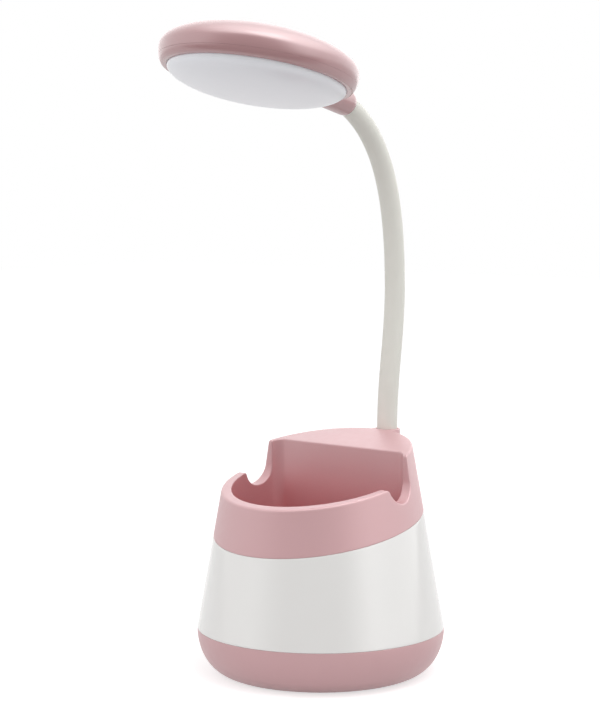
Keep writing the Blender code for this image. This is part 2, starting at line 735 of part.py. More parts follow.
def d_outline(radius, flat, corner, z):
    """A circle cut off by a straight line at y = flat, with rounded corners, at one height."""
    centre_y = flat - corner
    centre_x = math.sqrt((radius - corner) ** 2 - centre_y**2)
    lean = math.atan2(centre_y, centre_x)
    corner_steps = 4
    round_steps = 32
    points = []
    for at in range(corner_steps + 1):
        angle = math.pi / 2 + (lean - math.pi / 2) * at / corner_steps
        points.append((centre_x + corner * math.cos(angle), centre_y + corner * math.sin(angle)))
    sweep = -math.pi - 2 * lean
    for at in range(1, round_steps):
        angle = lean + sweep * at / round_steps
        points.append((radius * math.cos(angle), radius * math.sin(angle)))
    for at in range(corner_steps + 1):
        angle = math.pi - lean + (lean - math.pi / 2) * at / corner_steps
        points.append((-centre_x + corner * math.cos(angle), centre_y + corner * math.sin(angle)))
    return [Vector((x, y, z)) for x, y in points]


def well_profile():
    """The well's radius at its floor, at its widest and at the deck, as (height, radius)."""
    front = -pot_radius(RIM_HEIGHT)
    rim = raked(RIM_HEIGHT, front)
    rim_radius = pot_radius(rim) - RIM_THICKNESS - WELL_FORWARD
    top = raked(DECK_HEIGHT, PARTITION_FRONT) + OVERRUN
    floor_radius = rim_radius - (rim - WELL_FLOOR) * math.tan(WELL_DRAFT)
    return [(WELL_FLOOR, floor_radius), (rim, rim_radius), (top, rim_radius)]


def well(name, grow, flat, low):
    """The D-shaped space of the well, grown outwards by a wall."""
    forward = Vector((0, WELL_FORWARD, 0))
    loops = []
    for at, (height, radius) in enumerate(well_profile()):
        z = low if at == 0 else height
        outline = d_outline(radius + grow, flat + WELL_FORWARD, WELL_CORNER + grow, z)
        loops.append([point - forward for point in outline])
    return bridged(name, loops)


def bent(before, corner, after, steps=4):
    """A smooth turn from one point to another past a corner."""
    shares = [at / steps for at in range(steps + 1)]
    turn = []
    for share in shares:
        rest = 1 - share
        turn.append(tuple(
            a * rest**2 + b * 2 * rest * share + c * share**2 for a, b, c in zip(before, corner, after)
        ))
    return turn


def top_cutter():
    """All that is above the rim, the notches and the deck, as one outline along X."""
    middle = raked(RIM_HEIGHT, NOTCH_MIDDLE)

    def on_notch(angle):
        return NOTCH_MIDDLE + NOTCH_HALF_WIDTH * math.cos(angle), middle + NOTCH_DEPTH * math.sin(angle)

    drop = NOTCH_HALF_WIDTH * math.tan(RAKE)
    corner_angle = math.pi + math.asin(drop / NOTCH_DEPTH)
    corner = on_notch(corner_angle)
    before = (corner[0] - NOTCH_LIP, raked(RIM_HEIGHT, corner[0] - NOTCH_LIP))
    after_angle = corner_angle + NOTCH_LIP / NOTCH_DEPTH
    steps = 10
    angles = [after_angle + (math.tau - after_angle) * at / steps for at in range(1, steps + 1)]
    rear = NOTCH_MIDDLE + NOTCH_HALF_WIDTH
    outline = [(-SPAN, raked(RIM_HEIGHT, -SPAN))]
    outline += bent(before, corner, on_notch(after_angle))
    outline += [on_notch(angle) for angle in angles]
    outline += [(rear, raked(DECK_HEIGHT, rear)), (SPAN, raked(DECK_HEIGHT, SPAN))]
    outline += [(SPAN, SPAN), (-SPAN, SPAN)]
    return side_prism("above rim and deck", outline, SPAN)


def ear_outline(centre_y, radius, depth, z, sides):
    """Half a circle to the rear and straight sides to the front, which end in the cone."""
    points = []
    for at in range(sides):
        angle = math.tau * at / sides
        x, y = math.cos(angle), math.sin(angle)
        reach = radius if y >= 0 else min(radius / max(abs(x), MERGE), depth / -y)
        points.append(Vector((reach * x, centre_y + reach * y, z)))
    return points


def ear_lump():
    """The lug behind the pot with the gooseneck's seat, drawn back into the cone below."""
    sides = 24
    straight = SEAT_BOTTOM - EAR_FLOOR
    root = EAR_TOP - EAR_LENGTH
    root_reach = pot_radius(root) - EAR_ROOT_RADIUS - FIT
    wall = pot_radius(EAR_TOP) - SHELL_INSET / 2
    depth = EAR_REACH - wall
    loops = [
        ring(Vector((0, root_reach, root)), Z_AXIS, EAR_ROOT_RADIUS, sides),
        ear_outline(EAR_REACH, EAR_RADIUS, depth, straight, sides),
        ear_outline(EAR_REACH, EAR_RADIUS, depth, EAR_TOP, sides),
        ring(Vector((0, EAR_REACH, EAR_TOP)), Z_AXIS, NECK_RADIUS + FIT, sides),
        ring(Vector((0, EAR_REACH, SEAT_BOTTOM)), Z_AXIS, NECK_RADIUS + FIT, sides),
    ]
    return bridged("ear lump", loops)


def make_shell():
    """Skirt, rim, deck, well and ear in one moulding, open below."""
    low = raked(SEAM_HEIGHT, -POT_RADIUS)
    high = raked(DECK_HEIGHT, POT_RADIUS)
    shell = turned(
        "pen_holder_shell",
        [(0, low), (pot_radius(low), low), (pot_radius(high), high), (0, high)],
        "pink_plastic",
    )
    cut(shell, slab("below the seam", SEAM_HEIGHT - SPAN, SEAM_HEIGHT))
    spigot = cone("spigot lump", low - 2 * SPIGOT_DEPTH, high, BAND_INSET)
    cut(spigot, slab("below the spigot", SEAM_HEIGHT - SPAN, SEAM_HEIGHT - SPIGOT_DEPTH))
    cut(spigot, slab("above the spigot", SEAM_HEIGHT + SPIGOT_DEPTH, SEAM_HEIGHT + SPAN))
    hollow = cone("shell hollow", low - SPAN / 6, high, SHELL_INSET)
    cut(hollow, slab("under the deck", DECK_HEIGHT - DECK_WALL, DECK_HEIGHT + SPAN))
    join(shell, spigot, ear_lump())
    cut(shell, hollow)
    join(shell, well("cup lump", WELL_WALL, PARTITION_FRONT + PARTITION_WALL, WELL_UNDERSIDE))
    boss_foot = PILLAR_TOP + FIT
    boss_radius = BASE_SCREW_SHANK + FIT + BOSS_WALL
    pilot_top = PAD_TOP + BASE_SCREW_HEAD_HEIGHT + BASE_SCREW_LENGTH + 2 * FIT
    bosses = []
    for x, y in boss_places():
        length = WELL_UNDERSIDE + WELL_FLOOR_WALL / 2 - boss_foot
        foot = Vector((x, y, boss_foot))
        bore = BASE_SCREW_SHANK + FIT
        bosses.append(boss("shell boss", foot, Z_AXIS, boss_radius, bore, pilot_top - boss_foot, length))
    cut(shell, top_cutter(), well("well space", 0, PARTITION_FRONT, WELL_FLOOR))
    join(shell, together("shell bosses", bosses))
    drill_ear(shell)


def drill_ear(shell):
    """The lead's way out of the gooseneck's seat and the lock screw's hole, from inside."""
    inner = lead_way_inner() - Y_AXIS * OVERRUN
    lead_way = hole("lead way", inner, Y_AXIS, LEAD_HOLE, EAR_REACH - inner.y)
    seat = neck_screw_seat()
    start = seat - Y_AXIS * (SPIGOT_DEPTH + FIT)
    lock = stepped_hole("lock hole", start, Y_AXIS, SMALL_SCREW_HEAD + FIT, SPIGOT_DEPTH,
                        SMALL_SCREW_SHANK + FIT, EAR_REACH - start.y)
    cut(shell, together("ear holes", [lead_way, lock]))


def lead_way_inner():
    """Where the lead comes out of the shell's rear wall, inside the pot."""
    height = SEAT_BOTTOM + LEAD_HOLE + FIT
    return Vector((0, pot_radius(height) - SHELL_INSET, height))


def make_inner_leads(panel_frame):
    """The leads from the gooseneck to the board, and from the cell to the board."""
    start = Vector((0, EAR_REACH, FERRULE_BOTTOM - FIT))
    way_out = lead_way_inner()
    connector_back = BOARD_BACK - CELL_CONNECTOR / 4
    reach = BOARD_LENGTH / 2
    top = panel_frame @ Vector((0, connector_back, reach))
    bottom = panel_frame @ Vector((0, connector_back, -reach))
    bend = LEAD_BEND
    from_neck = (start, start - Z_AXIS * bend, way_out + Y_AXIS * bend, way_out)
    to_board = (way_out, way_out - Y_AXIS * bend, top + Z_AXIS * 2 * bend, top)
    swept("lamp_lead", [from_neck, to_board], LEAD_RADIUS, 6, "lead_red")
    cell = Vector((0, BATTERY_BACK + BATTERY_RADIUS + FIT, BATTERY_HEIGHT))
    from_cell = (cell, cell + Y_AXIS * 4 * bend, bottom - Z_AXIS * 2 * bend, bottom)
    swept("battery_lead", [from_cell], LEAD_RADIUS, 10, "lead_red")


def neck_screw_seat():
    """Where the lock screw's head bears on the shell's rear wall, from inside."""
    height = (FERRULE_TOP + FERRULE_BOTTOM) / 2
    return Vector((0, pot_radius(height) - SHELL_INSET + FIT, height))


# Gooseneck


def neck_curves():
    """The two cubic stretches of the gooseneck's middle line."""
    belly = FOOT + Vector((0, BELLY_BULGE, BELLY_RISE))
    low_rise = BELLY_RISE
    high_rise = TIP.z - belly.z
    tip_way = Vector((0, -math.cos(TIP_RISE), math.sin(TIP_RISE)))
    lower = (
        FOOT,
        FOOT + Z_AXIS * (low_rise * FOOT_PULL_SHARE),
        belly - Z_AXIS * (low_rise * BELLY_LOW_SHARE),
        belly,
    )
    upper = (
        belly,
        belly + Z_AXIS * (high_rise * BELLY_HIGH_SHARE),
        TIP - tip_way * (high_rise * TIP_PULL_SHARE),
        TIP,
    )
    return lower, upper


def neck_table():
    """Points along the gooseneck with their distance from its foot."""
    steps = 200
    table = []
    run = 0.0
    last = None
    for curve in neck_curves():
        for at in range(steps + 1):
            point, way = bezier(curve, at / steps)
            if last is not None:
                run += (point - last).length
            last = point
            table.append((run, point, way))
    return table


NECK_TABLE = neck_table()
NECK_LENGTH = NECK_TABLE[-1][0]


def neck_at(run):
    """The point and the direction of the gooseneck at a distance from its foot."""
    if run < 0:
        return FOOT + Z_AXIS * run, Z_AXIS
    for (a, point_a, way_a), (b, point_b, way_b) in zip(NECK_TABLE, NECK_TABLE[1:]):
        if run <= b and b > a:
            share = (run - a) / (b - a)
            return point_a.lerp(point_b, share), way_a.lerp(way_b, share).normalized()
    return NECK_TABLE[-1][1], NECK_TABLE[-1][2]


def joint_runs():
    """How far along the gooseneck its joints lie, evenly between the two stubs."""
    step = (NECK_LENGTH - FOOT_STUB - TIP_STUB) / NECK_LINKS
    return [FOOT_STUB + step * at for at in range(NECK_LINKS + 1)]


SOCKET_RADIUS = NECK_RADIUS + BALL_GAP


def reach_to_socket(radius):
    """How far before a joint a part of this radius meets the hollow ball."""
    return math.sqrt(SOCKET_RADIUS**2 - radius**2)


def curve_stations(run_a, run_b, radius):
    """Rings along the gooseneck between two distances."""
    found = []
    for at in range(LINK_STEPS + 1):
        point, way = neck_at(run_a + (run_b - run_a) * at / LINK_STEPS)
        found.append((point, way, radius))
    return found


def ball_end(joint, way, inner, outer):
    """Rings of the round end about a joint, from its bore to its widest."""
    steps = 3
    low = math.asin(inner / outer)
    turns = [low + (math.pi / 2 - low) * at / steps for at in range(steps)]
    return [(joint - way * (outer * math.cos(a)), way, outer * math.sin(a)) for a in turns]


def cup_end(joint, way, inner, outer):
    """Rings of the hollow end before a joint, from its rim to its bore."""
    steps = 2
    radii = [outer + (inner - outer) * at / steps for at in range(steps + 1)]
    return [(joint - way * reach_to_socket(radius), way, radius) for radius in radii]


def tube(name, stations, sides, finish, parent):
    loops = [ring(point, way, radius, sides) for point, way, radius in stations]
    return bridged(name, loops, finish, parent, hollow=True)


def make_link(number, run_a, run_b, parent, base):
    """One stretch of sleeve, steel core and lead. It starts with a ball about its own joint and
    ends in a cup about the next. The foot has no ball and the tip has no cup."""
    bore = CORE_RADIUS + FIT
    lead_bore = LEAD_RADIUS + FIT
    is_foot = number == 0
    is_tip = number == NECK_LINKS + 1
    start, start_way = neck_at(run_a)
    end, end_way = neck_at(run_b)
    cup = 0 if is_tip else reach_to_socket(NECK_RADIUS)
    outside = curve_stations(run_a, run_b - cup, NECK_RADIUS)
    inside = curve_stations(run_b - (0 if is_tip else reach_to_socket(bore)), run_a, bore)
    sleeve = [] if is_foot else ball_end(start, start_way, bore, NECK_RADIUS)
    sleeve += outside
    if not is_tip:
        sleeve += cup_end(end, end_way, bore, NECK_RADIUS)[1:-1]
    sleeve += inside
    tube(f"neck_sleeve_{number}", local(sleeve, base), NECK_SIDES, "silicone_sleeve", parent)
    make_core(number, run_a, run_b, parent, base, bore, lead_bore)


def make_core(number, run_a, run_b, parent, base, bore, lead_bore):
    is_foot = number == 0
    is_tip = number == NECK_LINKS + 1
    start, start_way = neck_at(run_a)
    end, end_way = neck_at(run_b)
    sunk = math.sqrt(NECK_RADIUS**2 - bore**2) - FIT
    lead_sunk = sunk - FIT
    core_end = run_b - (0 if is_tip else reach_to_socket(CORE_RADIUS))
    core_inner = run_b - (0 if is_tip else reach_to_socket(lead_bore))
    if is_foot:
        run_a = FERRULE_BOTTOM - EAR_TOP
    core = [] if is_foot else [(start - start_way * sunk, start_way, CORE_RADIUS)]
    core += curve_stations(run_a, core_end, CORE_RADIUS)
    core += curve_stations(core_inner, run_a, lead_bore)
    core += [] if is_foot else [(start - start_way * sunk, start_way, lead_bore)]
    lead_end = run_b - (0 if is_tip else SOCKET_RADIUS + FIT)
    lead = [] if is_foot else [(start - start_way * lead_sunk, start_way, LEAD_RADIUS)]
    lead += curve_stations(run_a, lead_end, LEAD_RADIUS)
    tube(f"neck_core_{number}", local(core, base), SMALL_SIDES, "neck_steel", parent)
    loops = [ring(point, way, radius, LEAD_SIDES) for point, way, radius in local(lead, base)]
    bridged(f"neck_lead_{number}", loops, "lead_red", parent)


def local(stations, base):
    """Stations measured from the point that carries them."""
    return [(point - base, way, radius) for point, way, radius in stations]


def make_neck():
    """Stubs at both ends and the links between them, each carried by an empty on its joint."""
    runs = joint_runs()
    make_link(0, -SLEEVE_FOOT, runs[0], None, Vector((0, 0, 0)))
    parent = None
    base = Vector((0, 0, 0))
    for number, run in enumerate(runs, 1):
        joint = neck_at(run)[0]
        parent = empty(f"neck_joint_{number}", joint - base, parent)
        base = joint
        last = number == NECK_LINKS + 1
        run_b = NECK_LENGTH - FIT if last else runs[number]
        make_link(number, run, run_b, parent, base)
    return parent, base


def make_ferrule():
    """The tube crimped on the core's foot, held in the ear by the lock screw."""
    inner = CORE_RADIUS + FIT
    outer = NECK_RADIUS
    profile = [(inner, FERRULE_BOTTOM), (outer, FERRULE_BOTTOM), (outer, FERRULE_TOP), (inner, FERRULE_TOP)]
    frame = Matrix.Translation((0, EAR_REACH, 0))
    ferrule = turned("lower_ferrule", profile, "brass_ferrule", NECK_SIDES, frame=frame)
    seat = neck_screw_seat()
    cut(ferrule, hole("ferrule hole", seat, Y_AXIS, SMALL_SCREW_SHANK + FIT, EAR_REACH - seat.y))
    length = EAR_REACH - CORE_RADIUS - 2 * FIT - seat.y
    small_screw("neck_lock_screw", seat - Y_AXIS * FIT, Y_AXIS, length=length)


# Head


def quarter(radius, height, steps):
    """A quarter of an ellipse from its widest point up, as (radius, height) points."""
    turns = [math.pi / 2 * at / steps for at in range(steps + 1)]
    return [(radius * math.cos(a), height * math.sin(a)) for a in turns]


def rim_radius(z):
    """The head's radius below its waist, where its side draws in along a quarter of an ellipse."""
    share = min((WAIST_RISE - z) / (WAIST_RISE + RING_DEPTH), 1)
    return HEAD_RADIUS - RING_ROUND * (1 - math.sqrt(1 - share**2))


def rim_profile(low, high, steps):
    """The head's side below its waist, upwards from one height to another."""
    heights = [low + (high - low) * at / steps for at in range(steps + 1)]
    return [(rim_radius(z), z) for z in heights]


def dome_inside(radius):
    """The height of the cover's inner face at a radius."""
    inner = HEAD_RADIUS - COVER_WALL
    return WAIST_RISE + (DOME_HEIGHT - COVER_WALL) * math.sqrt(1 - (radius / inner) ** 2)


def dome_outside(radius):
    return WAIST_RISE + DOME_HEIGHT * math.sqrt(1 - (radius / HEAD_RADIUS) ** 2)


def clip_seat():
    """How far behind the head's middle the clip's front is, so that it clears the dome inside."""
    rise = TONGUE_RISE + TONGUE_RADIUS + CLIP_WIDTH - WAIST_RISE
    wall = (HEAD_RADIUS - COVER_WALL) * math.sqrt(1 - (rise / (DOME_HEIGHT - COVER_WALL)) ** 2)
    return wall * math.cos(math.pi / HEAD_SIDES) - FIT - CLIP_THICKNESS


def make_cover(head):
    """The head's upper shell: half an ellipse over the waist, and a short skirt under it."""
    skirt = rim_profile(FIT / 2, WAIST_RISE, 2)
    outside = skirt[:-1] + [(r, WAIST_RISE + z) for r, z in quarter(HEAD_RADIUS, DOME_HEIGHT, 10)[:-1]]
    inner = quarter(HEAD_RADIUS - COVER_WALL, DOME_HEIGHT - COVER_WALL, 7)[:-1]
    inside = [(r, WAIST_RISE + z) for r, z in reversed(inner)] + [(HEAD_RADIUS - COVER_WALL, FIT / 2)]
    top = WAIST_RISE + DOME_HEIGHT
    profile = [(0, top - COVER_WALL)] + inside + outside + [(0, top)]
    cover = turned("head_cover", profile, "pink_gloss_plastic", HEAD_SIDES, head)
    bore = SMALL_SCREW_SHANK + FIT
    boss_radius = bore + BOSS_WALL
    foot = LED_BOARD_BOTTOM + LED_BOARD_THICKNESS + FIT
    depth = SMALL_SCREW_LENGTH - LED_BOARD_THICKNESS
    near = dome_inside(HEAD_SCREW_CIRCLE - boss_radius)
    far = dome_outside(HEAD_SCREW_CIRCLE + boss_radius)
    length = (near + far) / 2 - foot
    bosses = []
    for x, y in head_screw_places():
        start = Vector((x, y, foot))
        bosses.append(boss("head boss", start, Z_AXIS, boss_radius, bore, depth, length, head))
    wall = Vector((0, clip_seat(), TONGUE_RISE))
    cut(cover, hole("tongue hole", wall, Y_AXIS, TONGUE_RADIUS + FIT, HEAD_RADIUS, head))
    join(cover, together("head bosses", bosses))


def head_screw_places():
    reach = HEAD_SCREW_CIRCLE
    return [(reach * math.cos(angle), reach * math.sin(angle)) for angle in HEAD_SCREW_ANGLES]


FLANGE_RADIUS = LENS_RADIUS + LENS_FLANGE
LEDGE_HEIGHT = -RING_DEPTH + RING_LEDGE
FLANGE_BOTTOM = LEDGE_HEIGHT + FIT
FLANGE_TOP = FLANGE_BOTTOM + LENS_FLANGE_THICKNESS
REFLECTOR_BOTTOM = FLANGE_TOP + FIT
REFLECTOR_TOP = REFLECTOR_BOTTOM + REFLECTOR_THICKNESS
LED_BOARD_BOTTOM = REFLECTOR_TOP + FIT


def make_ring(head):
    """The lower rim of the head, whose ledge carries the lens."""
    outside = rim_profile(-RING_DEPTH, -FIT / 2, 4)
    profile = outside[::-1] + [
        (LENS_RADIUS + FIT, -RING_DEPTH),
        (LENS_RADIUS + FIT, LEDGE_HEIGHT),
        (FLANGE_RADIUS + FIT, LEDGE_HEIGHT),
        (FLANGE_RADIUS + FIT, -FIT / 2),
    ]
    turned("head_ring", profile, "pink_gloss_plastic", HEAD_SIDES, head)


def make_lens(head):
    """An opal dome, hollow above, with a flange that lies on the ring's ledge."""
    inner_radius = LENS_RADIUS - LENS_WALL
    steps = 8
    outside = [(r, -RING_DEPTH - z) for r, z in quarter(LENS_RADIUS, LENS_DEPTH, steps)[:-1]]
    outside = [(0, -RING_DEPTH - LENS_DEPTH)] + outside[::-1]
    inside = [(r, -RING_DEPTH - z) for r, z in quarter(inner_radius, LENS_DEPTH - LENS_WALL, steps)[:-1]]
    inside.append((0, -RING_DEPTH - LENS_DEPTH + LENS_WALL))
    flange = [
        (LENS_RADIUS, FLANGE_BOTTOM),
        (FLANGE_RADIUS, FLANGE_BOTTOM),
        (FLANGE_RADIUS, FLANGE_TOP),
        (inner_radius, FLANGE_TOP),
    ]
    turned("lens_diffuser", outside + flange + inside, "opal_diffuser", HEAD_SIDES, head)


def make_light_source(head):
    """The reflector ring over the lens, and the board with its LEDs and screws."""
    profile = [
        (REFLECTOR_INNER, REFLECTOR_BOTTOM),
        (FLANGE_RADIUS, REFLECTOR_BOTTOM),
        (FLANGE_RADIUS, REFLECTOR_TOP),
        (REFLECTOR_INNER, REFLECTOR_TOP),
    ]
    turned("reflector_ring", profile, "reflector_white", HEAD_SIDES, head)
    top = LED_BOARD_BOTTOM + LED_BOARD_THICKNESS
    radius = LED_BOARD_RADIUS
    board = turned("led_board", [(0, LED_BOARD_BOTTOM), (radius, LED_BOARD_BOTTOM), (radius, top), (0, top)],
                   "board_white", HEAD_SIDES, head)
    half = LED_SIZE / 2
    leds = []
    for at in range(LED_COUNT):
        angle = math.tau * at / LED_COUNT
        middle = Vector((LED_CIRCLE * math.cos(angle), LED_CIRCLE * math.sin(angle), LED_BOARD_BOTTOM))
        low = middle - Vector((half, half, LED_HEIGHT))
        high = middle + Vector((half, half, LED_BOARD_THICKNESS / 2))
        leds.append(box("led lump", low, high, parent=head))
    join(board, together("leds", leds))
    holes = []
    for at, (x, y) in enumerate(head_screw_places(), 1):
        start = Vector((x, y, LED_BOARD_BOTTOM - OVERRUN))
        length = LED_BOARD_THICKNESS + 2 * OVERRUN
        holes.append(hole("led board hole", start, Z_AXIS, SMALL_SCREW_SHANK + FIT, length, head))
        small_screw(f"head_screw_{at}", Vector((x, y, LED_BOARD_BOTTOM - FIT)), Z_AXIS, head)
    cut(board, together("led board holes", holes))


def make_stem(head):
    """The round-ended stem behind the head, with a tongue through the cover's wall and a clip."""
    steps = 6
    start = HEAD_RADIUS - STEM_RADIUS
    inner = clip_seat() - FIT
    turns = [math.pi / 2 * at / steps for at in range(steps + 1)]
    end = [(STEM_RADIUS * math.cos(a), STEM_REACH + STEM_RADIUS * math.sin(a)) for a in turns[:-1]]
    profile = [(0, start), (STEM_RADIUS, start)] + end + [(0, STEM_REACH + STEM_RADIUS)]
    axis = along(Y_AXIS, Vector((0, 0, STEM_RISE)))
    stem = turned("head_stem", profile, "pink_gloss_plastic", HEAD_SIDES // 2, head, axis)
    upper = [(r, WAIST_RISE + z) for r, z in quarter(HEAD_RADIUS + FIT, DOME_HEIGHT + FIT, 10)[:-1]]
    lower = [(r + FIT, z) for r, z in rim_profile(-RING_DEPTH, WAIST_RISE, 6)[:-1]]
    under = -RING_DEPTH - STEM_RADIUS
    profile = [(0, under), (lower[0][0], under)] + lower + upper + [(0, WAIST_RISE + DOME_HEIGHT + FIT)]
    cut(stem, turned("head space", profile, sides=HEAD_SIDES, parent=head))
    tongue_end = STEM_REACH - STEM_RADIUS * 2
    tongue = rod("tongue lump", Vector((0, inner, TONGUE_RISE)), Vector((0, tongue_end, TONGUE_RISE)),
                 TONGUE_RADIUS, parent=head)
    join(stem, tongue)
    tip, tip_way = tip_in_head()
    mouth = tip - tip_way * (2 * STEM_RADIUS)
    cut(stem, hole("neck mouth", mouth, tip_way, NECK_RADIUS + FIT, 2 * STEM_RADIUS, head))
    lead_way = head_lead_curves(-OVERRUN)[:1]
    cut(stem, swept("head lead way", lead_way, LEAD_RADIUS + FIT, 8, parent=head))
    swept("head_lead", head_lead_curves(FIT), LEAD_RADIUS, 6, "lead_red", head)
    clip_start = clip_seat()
    profile = [
        (TONGUE_RADIUS + FIT, 0),
        (TONGUE_RADIUS + CLIP_WIDTH, 0),
        (TONGUE_RADIUS + CLIP_WIDTH, CLIP_THICKNESS),
        (TONGUE_RADIUS + FIT, CLIP_THICKNESS),
    ]
    axis = along(Y_AXIS, Vector((0, clip_start, TONGUE_RISE)))
    turned("stem_clip", profile, "zinc_screw", SMALL_SIDES, head, axis)


def tip_in_head():
    """The gooseneck's end and its direction in the head's frame."""
    to_head = HEAD_FRAME.inverted()
    return to_head @ TIP, to_head.to_3x3() @ NECK_TABLE[-1][2]


def head_lead_curves(start):
    """The lead's way through the tongue, and on to the LED board. It starts at a distance past
    the gooseneck's end."""
    tip, tip_way = tip_in_head()
    tip += tip_way * start
    inside = Vector((0, clip_seat() - FIT - OVERRUN, TONGUE_RISE))
    back = STEM_REACH - HEAD_RADIUS
    way = (tip, tip + tip_way * (back / 2), inside + Y_AXIS * back, inside)
    on_board_height = LED_BOARD_BOTTOM + LED_BOARD_THICKNESS + FIT + LEAD_RADIUS
    on_board = Vector((0, LED_CIRCLE + 2 * LED_SIZE, on_board_height))
    step = (inside.y - on_board.y) / 3
    down = (inside, inside - Y_AXIS * step, on_board + Y_AXIS * step, on_board)
    return way, down


def make_head(parent, base):
    head = empty("head_frame", HEAD_CENTRE - base, parent, HEAD_TILT)
    make_cover(head)
    make_ring(head)
    make_lens(head)
    make_light_source(head)
    make_stem(head)


def main():
    for old in list(bpy.data.objects):
        bpy.data.objects.remove(old)
    make_pad()
    make_bowl()
    make_base_screws()
    make_counterweight()
    make_battery()
    panel = empty("rear_panel", PANEL.translation, None, POT_TAPER)
    make_band(panel)
    make_board(panel)
    make_charging_socket(panel)
    make_button(panel)
    make_shell()
    make_ferrule()
    make_inner_leads(PANEL)
    parent, base = make_neck()
    make_head(parent, base)


main()
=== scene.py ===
"""A desk lamp with a pen holder, dressed for a picture: moulded shells, a soft gooseneck and an
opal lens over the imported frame, in a white studio.

Shapes are worked out in millimetres, in the frame's own axes: +Z up, the lamp facing -Y. One
function turns them to metres when it makes the mesh.
"""

import json
import math

import bmesh
import bpy
import numpy as np
from mathutils import Matrix, Vector

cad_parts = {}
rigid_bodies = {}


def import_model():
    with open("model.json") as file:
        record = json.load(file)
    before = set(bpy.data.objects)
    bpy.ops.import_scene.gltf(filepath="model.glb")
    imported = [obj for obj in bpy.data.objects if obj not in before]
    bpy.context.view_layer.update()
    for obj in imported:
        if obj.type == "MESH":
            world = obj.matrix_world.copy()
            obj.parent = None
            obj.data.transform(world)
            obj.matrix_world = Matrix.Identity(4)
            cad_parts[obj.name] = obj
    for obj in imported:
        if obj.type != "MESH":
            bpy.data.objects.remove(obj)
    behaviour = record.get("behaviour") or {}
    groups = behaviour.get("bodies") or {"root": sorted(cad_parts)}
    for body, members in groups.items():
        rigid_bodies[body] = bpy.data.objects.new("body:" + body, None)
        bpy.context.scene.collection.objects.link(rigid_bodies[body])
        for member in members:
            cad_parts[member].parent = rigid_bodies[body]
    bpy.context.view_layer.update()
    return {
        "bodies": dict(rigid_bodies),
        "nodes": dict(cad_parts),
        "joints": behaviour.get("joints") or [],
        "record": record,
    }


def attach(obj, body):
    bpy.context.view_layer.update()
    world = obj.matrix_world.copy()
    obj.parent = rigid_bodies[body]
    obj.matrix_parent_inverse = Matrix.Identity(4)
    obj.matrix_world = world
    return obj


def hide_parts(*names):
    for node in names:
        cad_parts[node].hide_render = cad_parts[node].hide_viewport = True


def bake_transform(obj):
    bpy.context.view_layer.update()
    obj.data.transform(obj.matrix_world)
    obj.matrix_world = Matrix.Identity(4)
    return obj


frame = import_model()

MM = 0.001

# Clearances and small roundings, in millimetres as are all sizes below
GAP = 0.3
SEAM_GAP = 0.12
HEAD_SEAM = 0.05
SEAM_ROUNDING = 0.16
HEAD_SEAM_ROUNDING = 0.06
OVERLAP = 1.0

# Sizes of the pot
POT_RADIUS = 60.3
BOWL_HEIGHT = 22.3
TAPER_ANGLE = math.radians(10.1)
TAPER = math.tan(TAPER_ANGLE)
RAKE = math.tan(math.radians(11.1))
FOOT_RADIUS = 44.5
SEAM_HEIGHT = 74.4
RIM_HEIGHT = 95.9
DECK_HEIGHT = 106.5
DECK_WALL = 2.4
BAND_WALL = 2.0
SPIGOT_OUTER = 2.3
SPIGOT_INNER = 4.0
SPIGOT_DEPTH = 5.0
SPIGOT_CHAMFER = 0.2
PAD_RADIUS = 40.0
PAD_THICKNESS = 1.5
PAD_PROUD = 0.4
PAD_ROUNDING = 0.3
BOWL_WALL = 2.6
BOWL_FLOOR = 4.4
WELL_UNDERSIDE = 29.4
WELL_FLOOR = 31.6
SHELL_CEILING = 76.0

# Pillars, posts and bosses that the screws go into
PILLAR_PLACES = ((-24.0, -25.6), (24.0, -25.6), (-32.0, 6.6), (32.0, 6.6))
PILLAR_TOP = 13.4
PILLAR_RADIUS = 4.6
POST_RADIUS = 3.1
SCREW_HOLE = 1.8
SCREW_HOLE_LENGTH = 14.6
SCREW_HEAD_HOLE = 3.3
SCREW_HEAD_DEPTH = 3.4
BOSS_RADIUS = 2.6
BOSS_BORE = 1.3
BOSS_BORE_DEPTH = 2.9

# Rear panel: depths from its skin, outwards, and heights from its middle
BOARD_FRONT = -7.6
BOARD_SCREWS = ((-9.6, -15.6), (9.6, -15.6), (-9.6, 15.6), (9.6, 15.6))
BOARD_BOSS_HEIGHT = 6.3
PANEL_HEIGHT = 50
SOCKET_DROP = -10.0
SOCKET_WIDTH = 9.94
SOCKET_HEIGHT = 4.3
SOCKET_WALL = 0.5
SOCKET_TONGUE = (6.6, 0.7)
CONTACTS = 10
CONTACT_PITCH = 0.6
BUTTON_RISE = 9.0
BUTTON_RADIUS = 5.0
BUTTON_FACE = 1.4
BUTTON_FLANGE = 6.2
BUTTON_FLANGE_BACK = -3.1
BUTTON_FLANGE_FRONT = -2.3
DISH_RADIUS = 4.2
BUTTON_ROUNDING = 0.55
DISH_DEPTH = 0.25

# Pen well and phone notches
RIM_THICKNESS = 5.2
WELL_DRAFT = math.radians(1.0)
WELL_CORNER = 6.0
WELL_FORWARD = 0.8
WELL_MIDDLE = -14.0
PARTITION_FRONT = 15.2
CUP_WALL = 2.4
NOTCH_MIDDLE = 2.45
NOTCH_HALF_WIDTH = 8.85
NOTCH_DEPTH = 9.2
NOTCH_LIP = 2.2
DECK_CORNER = 1.3
RIM_ROUNDING = 1.1
RIM_INNER_ROUNDING = 0.7
NOTCH_ROUNDING = 0.85
CUP_CHAMFER = 1.0
FLOOR_ROUNDING = 3.0

# The shell's mean radius, which turns its angles into lengths, and how its rows gather upwards
CONE_REACH = 47.0
ROW_GATHERING = 1.4

